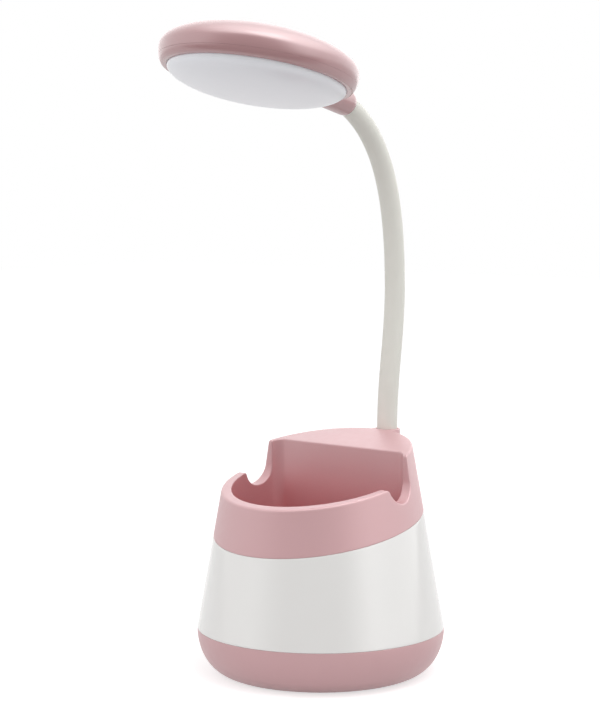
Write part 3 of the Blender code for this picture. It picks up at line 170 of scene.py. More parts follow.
# Gooseneck and the lug that holds its foot
NECK_RADIUS = 5.1
NECK_INNER = 4.4
EAR_TOP = DECK_HEIGHT + 7.7
EAR_RADIUS = 6.5
EAR_ROOT = EAR_TOP - 29.0
EAR_ROOT_RADIUS = 4.6
EAR_FLOOR = 1.2
EAR_ROUNDING = 0.5
SEAT_BOTTOM = EAR_TOP - 16.8
SLEEVE_FOOT = 5.0
NECK_JOINTS = 6
FIRST_JOINT = 8.0
LAST_JOINT = 14.0
BELLY_BACK = 6.0
BELLY_HEIGHT = 70.7
TIP_ANGLE = math.radians(26.1)

# How far each end of the gooseneck's two curves keeps its direction, as a share of the height
FOOT_HOLD = 0.38
BELLY_HOLD = 0.34
RISE_HOLD = 0.56
TIP_HOLD = 0.34

# Head, in its own frame
HEAD_TILT = math.radians(-13.6)
HEAD_RADIUS = 46.85
WAIST_RISE = 4.4
DOME_HEIGHT = 14.7
COVER_WALL = 2.2
RING_DEPTH = 3.45
RING_ROUND = 3.2
RING_LEDGE = 2.0
RING_INNER_ROUNDING = 0.2
LENS_RADIUS = 41.9
LENS_DEPTH = 9.5
LENS_WALL = 1.6
LENS_FLANGE = 1.4
FLANGE_THICKNESS = 1.4
REFLECTOR_THICKNESS = 0.9
LED_BOARD_THICKNESS = 1.6
HEAD_BOSS_REACH = 30.5
STEM_RADIUS = 6.4
STEM_RISE = 2.5
STEM_REACH = 64.1
TONGUE_RADIUS = 2.6
TONGUE_BORE = 1.3
TONGUE_RISE = 5.8
TONGUE_START = 38.7
TONGUE_LENGTH = 12.6
TONGUE_HOLE_LENGTH = 11.1

# Photograph, in pixels, and the side of the studio that is left unlit
PHOTO_SIZE = (600, 720)
FOCAL_LENGTH = 2067
CENTRE_COLUMN = 320.8
UNLIT_SIDE = (0.52, -0.85, 0.0)


def pot_radius(height):
    """The pot's cone above the bowl: r = R - (z - H) tan t."""
    return POT_RADIUS - (height - BOWL_HEIGHT) * TAPER


EAR_REACH = pot_radius(SEAT_BOTTOM) + NECK_RADIUS + 2 * GAP
FOOT = np.array([0.0, EAR_REACH, EAR_TOP])
HEAD_CENTRE = FOOT + np.array([0.0, -98.2, 175.4])
HEAD_FRAME = Matrix.Translation(HEAD_CENTRE) @ Matrix.Rotation(HEAD_TILT, 4, "X")
PANEL_PLACE = Matrix.Translation((0, pot_radius(PANEL_HEIGHT), PANEL_HEIGHT))
PANEL_FRAME = PANEL_PLACE @ Matrix.Rotation(TAPER_ANGLE, 4, "X")
TO_REAR = Matrix.Rotation(-math.pi / 2, 4, "X")


# Meshes


def closed_rows(rows, poles=True):
    """Points and faces of a surface over rows of points, where each row closes on itself. The
    first and last rows are poles, or without poles the last row is joined to the first."""
    rows = np.asarray(rows, float)
    count, around = rows.shape[:2]
    index = np.arange(count * around).reshape(count, around)
    low = index[:-1] if poles else index
    high = index[1:] if poles else np.roll(index, -1, axis=0)
    faces = np.stack([low, np.roll(low, -1, 1), np.roll(high, -1, 1), high], -1)
    return rows.reshape(-1, 3), faces.reshape(-1, 4)


def moved(part, matrix):
    """The part's points times a matrix."""
    points, faces = part
    turn = np.array(matrix.to_3x3())
    return points @ turn.T + np.array(matrix.translation), faces


def revolved(profile, sides=192, frame=None):
    """A profile of (radius, height) points turned about Z: x = r cos a, y = r sin a, z = h. One
    that starts and ends on the axis has poles there, and any other closes on itself."""
    profile = np.asarray(profile, float)
    turn = np.linspace(0, math.tau, sides, endpoint=False)
    radius, height = profile[:, :1], profile[:, 1:]
    rows = np.stack([radius * np.cos(turn), radius * np.sin(turn), height + 0 * turn], -1)
    part = closed_rows(rows, poles=profile[0, 0] == 0)
    return moved(part, frame) if frame else part


def softened(outline, legs, steps=5, closed=False):
    """Each corner c of an outline becomes the parabola a (1-t)^2 + 2 c t (1-t) + b t^2, where a
    and b lie a leg before and after it. Legs of zero keep the corner."""
    points = np.asarray(outline, float)
    legs = np.broadcast_to(np.asarray(legs, float), len(points)).copy()
    if not closed:
        legs[0] = legs[-1] = 0
    back = np.roll(points, 1, 0) - points
    ahead = np.roll(points, -1, 0) - points
    before = points + back / np.maximum(np.linalg.norm(back, axis=1), 1e-9)[:, None] * legs[:, None]
    after = points + ahead / np.maximum(np.linalg.norm(ahead, axis=1), 1e-9)[:, None] * legs[:, None]
    return corner_rows(before, points, after, steps).transpose(1, 0, 2).reshape(-1, 2)


def corner_rows(before, corner, after, steps=5):
    """Rows of the parabola a (1-t)^2 + 2 c t (1-t) + b t^2 for t from 0 to 1."""
    share = np.linspace(0, 1, steps + 1)[:, None, None]
    return before * (1 - share) ** 2 + corner * 2 * share * (1 - share) + after * share**2


def eased(share):
    """The S curve 3 t^2 - 2 t^3 between 0 and 1."""
    share = np.clip(share, 0, 1)
    return share**2 * (3 - 2 * share)


def between(first, last, steps):
    """Rows at even steps from one row to another, ends included."""
    share = np.linspace(0, 1, steps + 1)[:, None, None]
    return first * (1 - share) + last * share


def quarter(radius, height, steps=40):
    """A quarter of an ellipse from its widest point up: r = R cos a, z = h sin a."""
    turn = np.linspace(0, math.pi / 2, steps + 1)
    profile = np.stack([radius * np.cos(turn), height * np.sin(turn)], -1)
    profile[-1, 0] = 0
    return profile


def make_mesh(name, parts, sharp=35):
    """One mesh object over parts of (points, faces), in metres, its doubles merged, its faces
    turned outwards and its edges past the sharp angle left hard."""
    points, faces, start = [], [], 0
    for part_points, part_faces in parts:
        points.append(part_points * MM)
        faces.extend((part_faces + start).tolist())
        start += len(part_points)
    mesh = bpy.data.meshes.new(name)
    mesh.from_pydata(np.concatenate(points).tolist(), [], faces)
    bm = bmesh.new()
    bm.from_mesh(mesh)
    bmesh.ops.remove_doubles(bm, verts=bm.verts[:], dist=1e-7)
    bmesh.ops.recalc_face_normals(bm, faces=bm.faces[:])
    bm.to_mesh(mesh)
    bm.free()
    mesh.shade_smooth()
    mesh.set_sharp_from_angle(angle=math.radians(sharp))
    made = bpy.data.objects.new(name, mesh)
    bpy.context.scene.collection.objects.link(made)
    return made


def carved(piece, cutters=(), lumps=(), sharp=35):
    """The piece with lumps joined and cutters taken away, all applied to its mesh."""
    for operation, others in (("UNION", lumps), ("DIFFERENCE", cutters)):
        for other in others:
            step = piece.modifiers.new(other.name, "BOOLEAN")
            step.operation = operation
            step.solver = "EXACT"
            step.object = other
    ready = piece.evaluated_get(bpy.context.evaluated_depsgraph_get())
    mesh = bpy.data.meshes.new_from_object(ready)
    mesh.name = piece.name
    piece.modifiers.clear()
    piece.data = mesh
    mesh.shade_smooth()
    mesh.set_sharp_from_angle(angle=math.radians(sharp))
    for other in (*cutters, *lumps):
        bpy.data.objects.remove(other)
    return piece


def rod(start, direction, radius, length, sides=64):
    """A round bar from a point along a direction."""
    turn = Vector((0, 0, 1)).rotation_difference(Vector(direction)).to_matrix().to_4x4()
    profile = [(0, 0), (radius, 0), (radius, length), (0, length)]
    return revolved(profile, sides, Matrix.Translation(Vector(start)) @ turn)


def boss_outline(height):
    """A round boss bored from its foot, as a profile of (radius, height)."""
    bore = [(0, BOSS_BORE_DEPTH), (BOSS_BORE, BOSS_BORE_DEPTH), (BOSS_BORE, 0)]
    return bore + [(BOSS_RADIUS, 0), (BOSS_RADIUS, height), (0, height)]


def finished(piece, material, body, slot, *nodes):
    """The piece takes its material, its body and the nodes that it stands for. Its slot is not used."""
    piece.data.materials.clear()
    piece.data.materials.append(material)
    if body:
        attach(piece, body)
    if nodes:
        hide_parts(*nodes)
    return piece


# Materials


def linear(hex_text):
    """An sRGB hex value as linear red, green, blue and an alpha of 1."""
    channels = np.array([int(hex_text[at : at + 2], 16) for at in (0, 2, 4)]) / 255
    low = channels / 12.92
    high = ((channels + 0.055) / 1.055) ** 2.4
    return (*np.where(channels <= 0.04045, low, high).tolist(), 1.0)


def add_node(tree, kind, inputs=None, **settings):
    """A node with its settings. Each input is a value, or another node's output to link."""
    made = tree.nodes.new(kind)
    for name, value in settings.items():
        setattr(made, name, value)
    for name, value in (inputs or {}).items():
        if isinstance(value, bpy.types.NodeSocket):
            tree.links.new(value, made.inputs[name])
        else:
            made.inputs[name].default_value = value
    return made


def surface(
    name, colours, roughness, grain_mm, depth_mm, cloud_mm=18.0, coords="Object", painted_shade=None, **sockets
):
    """A material whose colour drifts between two hex values over clouds of one size, whose
    roughness drifts between two values over a fifth of that size, and whose surface has a fine
    grain of a given size and depth. A painted shade colour takes over where the surface is sheltered on
    most sides within 80 mm: a deeper colour painted into hollows for their shade and the light their walls
    throw on each other. The sockets named last get their values directly."""
    material = bpy.data.materials.new(name)
    material.use_nodes = True
    tree = material.node_tree
    tree.nodes.clear()
    where = add_node(tree, "ShaderNodeTexCoord").outputs[coords]
    clouds = add_node(tree, "ShaderNodeTexNoise", {"Vector": where, "Scale": 1000 / cloud_mm, "Detail": 3.0})
    smears = add_node(tree, "ShaderNodeTexNoise", {"Vector": where, "Scale": 5000 / cloud_mm, "Detail": 4.0})
    grain = add_node(tree, "ShaderNodeTexNoise", {"Vector": where, "Scale": 1000 / grain_mm, "Detail": 2.0})
    colour = add_node(tree, "ShaderNodeMix", {
        0: clouds.outputs["Fac"], 6: linear(colours[0]), 7: linear(colours[1]),
    }, data_type="RGBA").outputs[2]
    # Painted shade: a deeper colour mixed in where ambient occlusion finds the surface sheltered
    if painted_shade:
        painted_shade_occlusion = add_node(tree, "ShaderNodeAmbientOcclusion", {"Distance": 80 * MM}, samples=8)
        depth = add_node(tree, "ShaderNodeMapRange", {
            "Value": painted_shade_occlusion.outputs["AO"], "From Min": 0.3, "From Max": 0.85,
        })
        colour = add_node(tree, "ShaderNodeMix", {
            0: depth.outputs["Result"], 6: linear(painted_shade), 7: colour,
        }, data_type="RGBA").outputs[2]
    rough = add_node(tree, "ShaderNodeMapRange", {
        "Value": smears.outputs["Fac"],
        "From Min": 0.3,
        "From Max": 0.7,
        "To Min": roughness[0],
        "To Max": roughness[1],
    })
    bump = add_node(tree, "ShaderNodeBump", {
        "Height": grain.outputs["Fac"], "Strength": 1.0, "Distance": depth_mm * MM,
    })
    shader = add_node(tree, "ShaderNodeBsdfPrincipled", {
        "Base Color": colour,
        "Roughness": rough.outputs["Result"],
        "Normal": bump.outputs["Normal"],
        **sockets,
    })
    add_node(tree, "ShaderNodeOutputMaterial", {"Surface": shader.outputs["BSDF"]})
    return material


# Moulded ABS from a spark-eroded tool: an even satin grain, so highlights are wide and soft
SATIN_PINK_ABS = surface("satin_pink_abs", ("ca9ea1", "cca1a4"), (0.37, 0.45), 0.55, 0.01, IOR=1.75)

# The same moulding round the well, with painted shade: a deeper rose painted where its walls shade and light
# each other
WELL_PINK_PAINTED_SHADE = surface(
    "well_pink_painted_shade", ("ca9ea1", "cca1a4"), (0.37, 0.45), 0.55, 0.01, painted_shade="c87f83", IOR=1.75,
)

# ABS from a polished tool, lightly sprayed: a smooth skin with one tight soft highlight
GLOSS_PINK_ABS = surface("gloss_pink_abs", ("b08688", "b2888a"), (0.22, 0.27), 6.0, 0.004, IOR=1.8)

# Polished white ABS: clear reflections of the room, broken only by the slightest waviness
GLOSS_WHITE_ABS = surface("gloss_white_abs", ("e9e7e5", "ebeae8"), (0.09, 0.14), 9.0, 0.01, IOR=1.6)

# Opal polycarbonate: milky and even, a cool white that is soft at its rim
OPAL_POLYCARBONATE = surface("opal_polycarbonate", ("f0f1f6", "f3f4f9"), (0.3, 0.36), 8.0, 0.004, IOR=1.58)

# Extruded silicone rubber: a matt warm white that has picked up a little dust
MATT_SILICONE = surface("matt_silicone", ("dddcd4", "e3e2db"), (0.46, 0.56), 0.5, 0.012, 9.0, "UV", IOR=1.41)

# Moulded nitrile rubber: black, dull and finely pitted
NITRILE_RUBBER = surface("nitrile_rubber", ("2c2c2e", "38383a"), (0.75, 0.9), 0.7, 0.06, 8.0, IOR=1.52)

# Black ABS from a plain tool: a dull sheen on sockets and cradles
BLACK_ABS = surface("black_abs", ("212123", "2a2a2c"), (0.42, 0.52), 0.5, 0.01, 10.0, IOR=1.53)

# Zinc-plated steel screws: bluish grey, bright, with faint clouding
ZINC_PLATE = surface("zinc_plate", ("b4b8bb", "c3c6c8"), (0.28, 0.42), 0.3, 0.004, 1.5, Metallic=1.0)

# Hot-rolled steel disc: dark grey mill scale, uneven and half dull
MILL_STEEL = surface("mill_steel", ("606366", "75787b"), (0.42, 0.62), 0.8, 0.02, 7.0, Metallic=1.0)

# Bright spring steel of the gooseneck's core: fine drawn skin
SPRING_STEEL = surface("spring_steel", ("84878b", "95989c"), (0.3, 0.42), 0.3, 0.006, 3.0, Metallic=1.0)

# Turned brass: warm yellow, lightly tarnished
TURNED_BRASS = surface("turned_brass", ("ab8e50", "bb9f60"), (0.28, 0.4), 0.3, 0.004, 2.0, Metallic=1.0)

# Tin-plated steel shell of the socket: pale and bright
TIN_PLATE = surface("tin_plate", ("b2b4b6", "bfc1c3"), (0.2, 0.32), 0.3, 0.003, 2.0, Metallic=1.0)

# Gold flash on the socket's contacts
GOLD_FLASH = surface("gold_flash", ("c9a24c", "d4ae58"), (0.2, 0.3), 0.3, 0.002, 1.0, Metallic=1.0)

# Glass-epoxy board under green solder mask: glossy, with the weave just showing
GREEN_BOARD = surface("green_solder_mask", ("1b5237", "236241"), (0.25, 0.4), 0.6, 0.01, 3.0, IOR=1.5)

# Aluminium board under white solder mask, which throws the light down
WHITE_BOARD = surface("white_solder_mask", ("e4e4e0", "ebebe7"), (0.3, 0.42), 0.6, 0.006, 4.0, IOR=1.5)

# Pressed white polyester film: bright and nearly matt
WHITE_FILM = surface("white_polyester_film", ("efefed", "f4f4f2"), (0.35, 0.5), 0.6, 0.004, 6.0, IOR=1.6)

# PVC insulation on the leads: a soft red skin
RED_PVC = surface("red_pvc", ("a02f2b", "ae3732"), (0.38, 0.5), 0.4, 0.008, 3.0, IOR=1.53)

# Shrunk PVC sleeve round the cell: blue, tight and a little glossy
BLUE_SHRINK = surface("blue_shrink_sleeve", ("3a689f", "4573ab"), (0.25, 0.36), 0.8, 0.01, 6.0, IOR=1.53)


# Pot


def level_ring(turn, height, inset=0.0):
    """The cone's level circle at a height, set in: r = R(z) - i."""
    radius = pot_radius(height) - inset
    return np.stack([radius * np.cos(turn), radius * np.sin(turn), height + 0 * turn], -1)


def raked_height(turn, plane, inset=0.0):
    """Where the raked plane z = H + k y meets the cone, with y = (R(z) - i) sin a, solved for z."""
    sine = np.sin(turn)
    reach = POT_RADIUS + BOWL_HEIGHT * TAPER - inset
    return (plane + RAKE * sine * reach) / (1 + RAKE * TAPER * sine)


def raked_ring(turn, plane, inset=0.0):
    """The cone's section by a raked plane, as points."""
    return level_ring(turn, raked_height(turn, plane, inset), inset)


def make_pad():
    """A flat disc with rounded edges."""
    edge = [(0, 0), (PAD_RADIUS, 0), (PAD_RADIUS, PAD_THICKNESS), (0, PAD_THICKNESS)]
    pad = make_mesh("rubber_foot_pad", [revolved(softened(edge, PAD_ROUNDING))])
    finished(pad, NITRILE_RUBBER, "base", "rubber_pad", "anti_slip_pad")


def make_bowl():
    """The bowl's side is a quarter of an ellipse, r = R0 + w sin a, z = H - h cos a, turned
    about the axis. Its foot is recessed for the pad, and its spigot stands up in the band."""
    width = POT_RADIUS - FOOT_RADIUS
    turn = np.linspace(0, math.pi / 2, 41)
    outside = np.stack([
        FOOT_RADIUS + width * np.sin(turn), BOWL_HEIGHT - (BOWL_HEIGHT - PAD_PROUD) * np.cos(turn),
    ], -1)
    inside = np.stack([
        FOOT_RADIUS + (width - BOWL_WALL) * np.sin(turn[::-1]),
        BOWL_HEIGHT - (BOWL_HEIGHT - BOWL_FLOOR) * np.cos(turn[::-1]),
    ], -1)
    spigot_top = BOWL_HEIGHT + SPIGOT_DEPTH
    spigot = [
        (pot_radius(BOWL_HEIGHT) - SPIGOT_OUTER, BOWL_HEIGHT),
        (pot_radius(spigot_top) - SPIGOT_OUTER, spigot_top),
        (pot_radius(spigot_top) - SPIGOT_INNER, spigot_top),
    ]
    inside = inside[inside[:, 0] < spigot[-1][0]]
    seat = PAD_THICKNESS + GAP
    recess = [(0, seat), (PAD_RADIUS + GAP, seat), (PAD_RADIUS + GAP, PAD_PROUD)]
    profile = np.concatenate([recess, outside, spigot, inside, [(0, BOWL_FLOOR)]])
    legs = np.zeros(len(profile))
    legs[len(recess) - 1] = PAD_ROUNDING
    legs[len(recess) + len(outside) - 1] = SEAM_ROUNDING
    bowl = make_mesh("bowl_moulding", [revolved(softened(profile, legs))])
    hole = [
        (0, 0), (SCREW_HEAD_HOLE, 0), (SCREW_HEAD_HOLE, SCREW_HEAD_DEPTH),
        (SCREW_HOLE, SCREW_HEAD_DEPTH), (SCREW_HOLE, SCREW_HOLE_LENGTH), (0, SCREW_HOLE_LENGTH),
    ]
    pillars, holes = [], []
    for x, y in PILLAR_PLACES:
        foot = BOWL_FLOOR - OVERLAP
        pillars.append(rod((x, y, foot), (0, 0, 1), PILLAR_RADIUS, PILLAR_TOP - foot))
        holes.append(revolved(hole, 48, Matrix.Translation((x, y, seat - OVERLAP))))
    carved(bowl, [make_mesh("bowl_holes", holes)], [make_mesh("bowl_pillars", pillars)])
    finished(bowl, SATIN_PINK_ABS, "base", "pink_plastic", "base_bowl")


def stadium(width, height, drop, steps=24):
    """A stadium outline: two half circles and the straight runs between them, as (x, z)."""
    radius = height / 2
    shift = width / 2 - radius
    turn = np.linspace(math.pi / 2, -math.pi / 2, steps + 1)
    right = np.stack([shift + radius * np.cos(turn), drop + radius * np.sin(turn)], -1)
    left = np.stack([-shift - radius * np.cos(turn), drop - radius * np.sin(turn)], -1)
    return np.concatenate([right, left])


def stadium_rows(stations, drop):
    """Rows of stadium outlines at (depth, width, height) stations."""
    rows = []
    for depth, width, height in stations:
        outline = stadium(width, height, drop)
        rows.append(np.stack([outline[:, 0], 0 * outline[:, 0] + depth, outline[:, 1]], -1))
    return np.array(rows)


def capped(rows):
    """Rows with a pole in the middle of the first and of the last."""
    first = np.broadcast_to(rows[0].mean(0), rows[0].shape)
    last = np.broadcast_to(rows[-1].mean(0), rows[-1].shape)
    return np.concatenate([first[None], rows, last[None]])


def make_band():
    """The cone's wall between the level seam and the raked one: z runs by even steps between
    the two at each angle. Its edges are rounded, and the rear is pierced for socket and button."""
    turn = np.linspace(0, math.tau, 256, endpoint=False)
    low = BOWL_HEIGHT + SEAM_GAP
    top = SEAM_HEIGHT - SEAM_GAP
    soft = SEAM_ROUNDING
    inner = 1 - np.linspace(0, 1, 7)[:, None, None]
    inner_top = raked_ring(turn, top, BAND_WALL)
    inner_low = level_ring(turn, low, BAND_WALL)
    rows = np.concatenate([
        corner_rows(level_ring(turn, low, soft), level_ring(turn, low), level_ring(turn, low + soft)),
        between(level_ring(turn, low + soft), raked_ring(turn, top - soft), 40)[1:-1],
        corner_rows(raked_ring(turn, top - soft), raked_ring(turn, top), raked_ring(turn, top, soft)),
        inner_low + (inner_top - inner_low) * inner,
    ])
    band = make_mesh("band_moulding", [closed_rows(rows, poles=False)])
    bosses = []
    for x, z in BOARD_SCREWS:
        place = PANEL_FRAME @ Matrix.Translation((x, BOARD_FRONT + GAP, z)) @ TO_REAR
        bosses.append(revolved(boss_outline(BOARD_BOSS_HEIGHT), 32, place))
    outside = 1.4
    mouth_size = (SOCKET_WIDTH + 2 * GAP, SOCKET_HEIGHT + 2 * GAP)
    mouth = capped(stadium_rows([(BOARD_FRONT, *mouth_size), (outside, *mouth_size)], SOCKET_DROP))
    wide, narrow = BUTTON_FLANGE + GAP, BUTTON_RADIUS + GAP
    shoulder, end = BUTTON_FLANGE_FRONT + GAP - BOARD_FRONT, outside - BOARD_FRONT
    steps = [(0, 0), (wide, 0), (wide, shoulder), (narrow, shoulder), (narrow, end), (0, end)]
    button_place = PANEL_FRAME @ Matrix.Translation((0, BOARD_FRONT, BUTTON_RISE)) @ TO_REAR
    holes = [moved(closed_rows(mouth), PANEL_FRAME), revolved(steps, 64, button_place)]
    carved(band, [make_mesh("band_holes", holes)], [make_mesh("band_bosses", bosses)], 25)
    finished(band, GLOSS_WHITE_ABS, "base", "white_gloss_plastic", "body_band")


def make_socket():
    """The socket's steel shell as rows of stadium outlines, out to its rounded mouth and back
    inside, each set in from the outer size. Its tongue is made the same way, with blocks along
    both faces for contacts."""
    back, mouth = BOARD_FRONT + GAP, -GAP
    insets = [
        (back, 0), (mouth - 0.2, 0), (mouth - 0.06, 0.03), (mouth, 0.12), (mouth, 0.37),
        (mouth - 0.12, 0.48), (mouth - 0.4, SOCKET_WALL), (back + 1.2, SOCKET_WALL),
    ]
    stations = [(depth, SOCKET_WIDTH - 2 * inset, SOCKET_HEIGHT - 2 * inset) for depth, inset in insets]
    skin = closed_rows(capped(stadium_rows(stations, SOCKET_DROP)))
    shell = make_mesh("socket_shell", [moved(skin, PANEL_FRAME)])
    finished(shell, TIN_PLATE, "base", "socket_steel", "charging_socket")
    wide, thick = SOCKET_TONGUE
    chamfer = 0.3
    tongue_stations = [
        (back + 0.9, wide, thick), (-1.7, wide, thick), (-1.5, wide - chamfer, thick - chamfer),
    ]
    tongue = closed_rows(capped(stadium_rows(tongue_stations, SOCKET_DROP)))
    made = make_mesh("socket_tongue", [moved(tongue, PANEL_FRAME)])
    finished(made, BLACK_ABS, "base", "black_plastic")
    contacts = []
    contact_size = np.array([0.3, 3.6, 0.1])
    for side in (-1, 1):
        for at in range(CONTACTS):
            x = (at - (CONTACTS - 1) / 2) * CONTACT_PITCH
            low = (x - contact_size[0] / 2, back + 1.5, SOCKET_DROP + side * 0.33 - contact_size[2] / 2)
            contacts.append(moved(block(low, contact_size), PANEL_FRAME))
    made = make_mesh("socket_contacts", contacts)
    finished(made, GOLD_FLASH, "base", "socket_steel")


def block(low, size):
    """The eight corners and six faces of a block."""
    corners = np.array([[x, y, z] for z in (0, 1) for y in (0, 1) for x in (0, 1)]) * size + low
    faces = np.array([[0, 2, 3, 1], [4, 5, 7, 6], [0, 1, 5, 4], [2, 6, 7, 3], [0, 4, 6, 2], [1, 3, 7, 5]])
    return corners, faces


def make_button():
    """The cap turned about its own axis, with a dished face: z = h - d (1 - (r / R)^2). A
    flange keeps it behind the wall, and the face's edge is rounded."""
    reach = np.linspace(DISH_RADIUS, 0, 12)
    dish = np.stack([reach, BUTTON_FACE - DISH_DEPTH * (1 - (reach / DISH_RADIUS) ** 2)], -1)
    side = [
        (0, BUTTON_FLANGE_BACK), (BUTTON_FLANGE, BUTTON_FLANGE_BACK), (BUTTON_FLANGE, BUTTON_FLANGE_FRONT),
        (BUTTON_RADIUS, BUTTON_FLANGE_FRONT), (BUTTON_RADIUS, BUTTON_FACE),
    ]
    profile = np.concatenate([side, dish])
    legs = np.zeros(len(profile))
    legs[len(side) - 1] = BUTTON_ROUNDING
    place = PANEL_FRAME @ Matrix.Translation((0, 0, BUTTON_RISE)) @ TO_REAR
    cap = make_mesh("button_cap", [revolved(softened(profile, legs), 96, place)])
    finished(cap, SATIN_PINK_ABS, "power_button", "pink_plastic", "power_button")


# Pen holder


RIM_FRONT_HEIGHT = float(raked_height(np.array(-math.pi / 2), RIM_HEIGHT))
RIM_WELL_RADIUS = pot_radius(RIM_FRONT_HEIGHT) - RIM_THICKNESS - WELL_FORWARD


def well_radius(height):
    """The well widens by its draft up to the rim's front, r = R - (H - z) tan d, and is upright
    above that."""
    return RIM_WELL_RADIUS - np.maximum(RIM_FRONT_HEIGHT - height, 0) * math.tan(WELL_DRAFT)


def well_shape(height, grow=0.0):
    """The D outline's radius, its corner's radius, the corner's centre and its first angle."""
    radius = well_radius(height) + grow
    corner = WELL_CORNER + grow
    centre_y = PARTITION_FRONT + WELL_FORWARD - WELL_CORNER
    centre_x = np.sqrt((radius - corner) ** 2 - centre_y**2)
    return radius, corner, centre_x, centre_y, np.arctan2(centre_y, centre_x)


def well_point(run, height, grow=0.0):
    """A point of the D outline: on a circle r cos a, r sin a, then on the corner's own circle,
    then on the straight partition. Run goes from 0 at the front to 1 where the first circle ends,
    2 where the corner ends and 3 in the middle of the partition."""
    radius, corner, centre_x, centre_y, lean = well_shape(height, grow)
    turn = -math.pi / 2 + np.clip(run, 0, 1) * (math.pi / 2 + lean)
    bend = lean + np.clip(run - 1, 0, 1) * (math.pi / 2 - lean)
    flat_x = centre_x * (1 - np.clip(run - 2, 0, 1))
    rear_x = np.where(run <= 2, centre_x + corner * np.cos(bend), flat_x)
    x = np.where(run <= 1, radius * np.cos(turn), rear_x)
    y = np.where(run <= 1, radius * np.sin(turn), centre_y + corner * np.sin(bend))
    return np.stack([x, y - WELL_FORWARD, height + 0 * x], -1)


def well_run(y, height):
    """The run at which the D outline passes a given y on its side."""
    radius, corner, _, centre_y, lean = well_shape(height)
    y = y + WELL_FORWARD
    on_round = (np.arcsin(np.clip(y / radius, -1, 1)) + math.pi / 2) / (math.pi / 2 + lean)
    on_corner = 1 + (np.arcsin(np.clip((y - centre_y) / corner, -1, 1)) - lean) / (math.pi / 2 - lean)
    return np.where(y <= radius * np.sin(lean), on_round, on_corner)


_, _, CORNER_X, _, LEAN = (float(value) for value in well_shape(np.array(RIM_HEIGHT)))
ROUND_LENGTH = RIM_WELL_RADIUS * (math.pi / 2 + LEAN)
CORNER_LENGTH = WELL_CORNER * (math.pi / 2 - LEAN)
RUN_LENGTHS = np.cumsum([0, ROUND_LENGTH, CORNER_LENGTH, CORNER_X])


def length_to_run(length):
    """The run at a length along the upright D outline."""
    return np.interp(length, RUN_LENGTHS, [0, 1, 2, 3])


def run_to_length(run):
    """The length along the upright D outline at a run."""
    return np.interp(run, [0, 1, 2, 3], RUN_LENGTHS)


def side_outline():
    """The notch as seen along X, as (y, z): a parabola over the lip, part of an ellipse, a
    straight rise, and a parabola over the deck's corner."""
    middle = RIM_HEIGHT + RAKE * NOTCH_MIDDLE
    corner_angle = math.pi + math.asin(NOTCH_HALF_WIDTH * RAKE / NOTCH_DEPTH)
    after_angle = corner_angle + NOTCH_LIP / NOTCH_DEPTH

    def on_notch(angle):
        """Points of the ellipse: y = m + w cos a, z = c + d sin a."""
        y = NOTCH_MIDDLE + NOTCH_HALF_WIDTH * np.cos(angle)
        return np.stack([y, middle + NOTCH_DEPTH * np.sin(angle)], -1)

    corner = on_notch(np.array([corner_angle]))
    before = corner - [[NOTCH_LIP, NOTCH_LIP * RAKE]]
    lip = corner_rows(before, corner, on_notch(np.array([after_angle])), 14)[:, 0]
    notch = on_notch(np.linspace(after_angle, math.tau, 42)[1:])
    rear = NOTCH_MIDDLE + NOTCH_HALF_WIDTH
    deck = DECK_HEIGHT + RAKE * rear
    rise = np.stack([np.full(14, rear), np.linspace(middle, deck - DECK_CORNER, 15)[1:]], -1)
    ahead = np.array([[rear + DECK_CORNER, deck + RAKE * DECK_CORNER]])
    top = corner_rows(rise[-1:], np.array([[rear, deck]]), ahead, 8)[1:, 0]
    return np.concatenate([lip, notch, rise, top])


def rim_edges():
    """The sharp outer and inner edges of rim, notch and deck on the right half, front to rear:
    angle and height on the cone, and length along the D outline and height on the well. The rim
    runs inwards to the well's centre in front, and turns to run along X where the notch does."""
    side = side_outline()
    side_turn = np.arcsin(side[:, 0] / pot_radius(side[:, 1]))
    rim_turn = np.linspace(-math.pi / 2, side_turn[0], 101)[:-1]
    rim_height = raked_height(rim_turn, RIM_HEIGHT)
    rim_y = pot_radius(rim_height) * np.sin(rim_turn)
    turning_from = math.radians(-60)
    share = eased((rim_turn - turning_from) / (side_turn[0] - turning_from))
    radial_y = well_radius(rim_height) * np.sin(rim_turn) - WELL_FORWARD
    inner_y = radial_y * (1 - share) + rim_y * share
    inner_height = RIM_HEIGHT + RAKE * inner_y
    rim_length = run_to_length(well_run(inner_y, inner_height))
    deck_turn = np.linspace(side_turn[-1], math.pi / 2, 91)[1:]
    side_length = run_to_length(well_run(side[:, 0], side[:, 1]))
    share = (deck_turn - side_turn[-1]) / (math.pi / 2 - side_turn[-1])
    deck_length = side_length[-1] + (RUN_LENGTHS[-1] - side_length[-1]) * share
    deck_inner = np.full(len(deck_turn), DECK_HEIGHT + RAKE * PARTITION_FRONT)
    # The partition's edge has its height from its own y, and three rounds settle the two
    for _ in range(3):
        deck_inner = DECK_HEIGHT + RAKE * well_point(length_to_run(deck_length), deck_inner)[:, 1]
    turn = np.concatenate([rim_turn, side_turn, deck_turn])
    height = np.concatenate([rim_height, side[:, 1], raked_height(deck_turn, DECK_HEIGHT)])
    length = np.concatenate([rim_length, side_length, deck_length])
    inner = np.concatenate([inner_height, side[:, 1], deck_inner])
    return turn, height, length, inner


def set_back(along, height, leg):
    """A curve in a wall's own plane, moved off the edge into the wall: the tangent (a, z) turned
    by a right angle is (z, -a)."""
    slope_along, slope_height = np.gradient(along), np.gradient(height)
    norm = np.hypot(slope_along, slope_height)
    return along + leg * slope_height / norm, height - leg * slope_along / norm


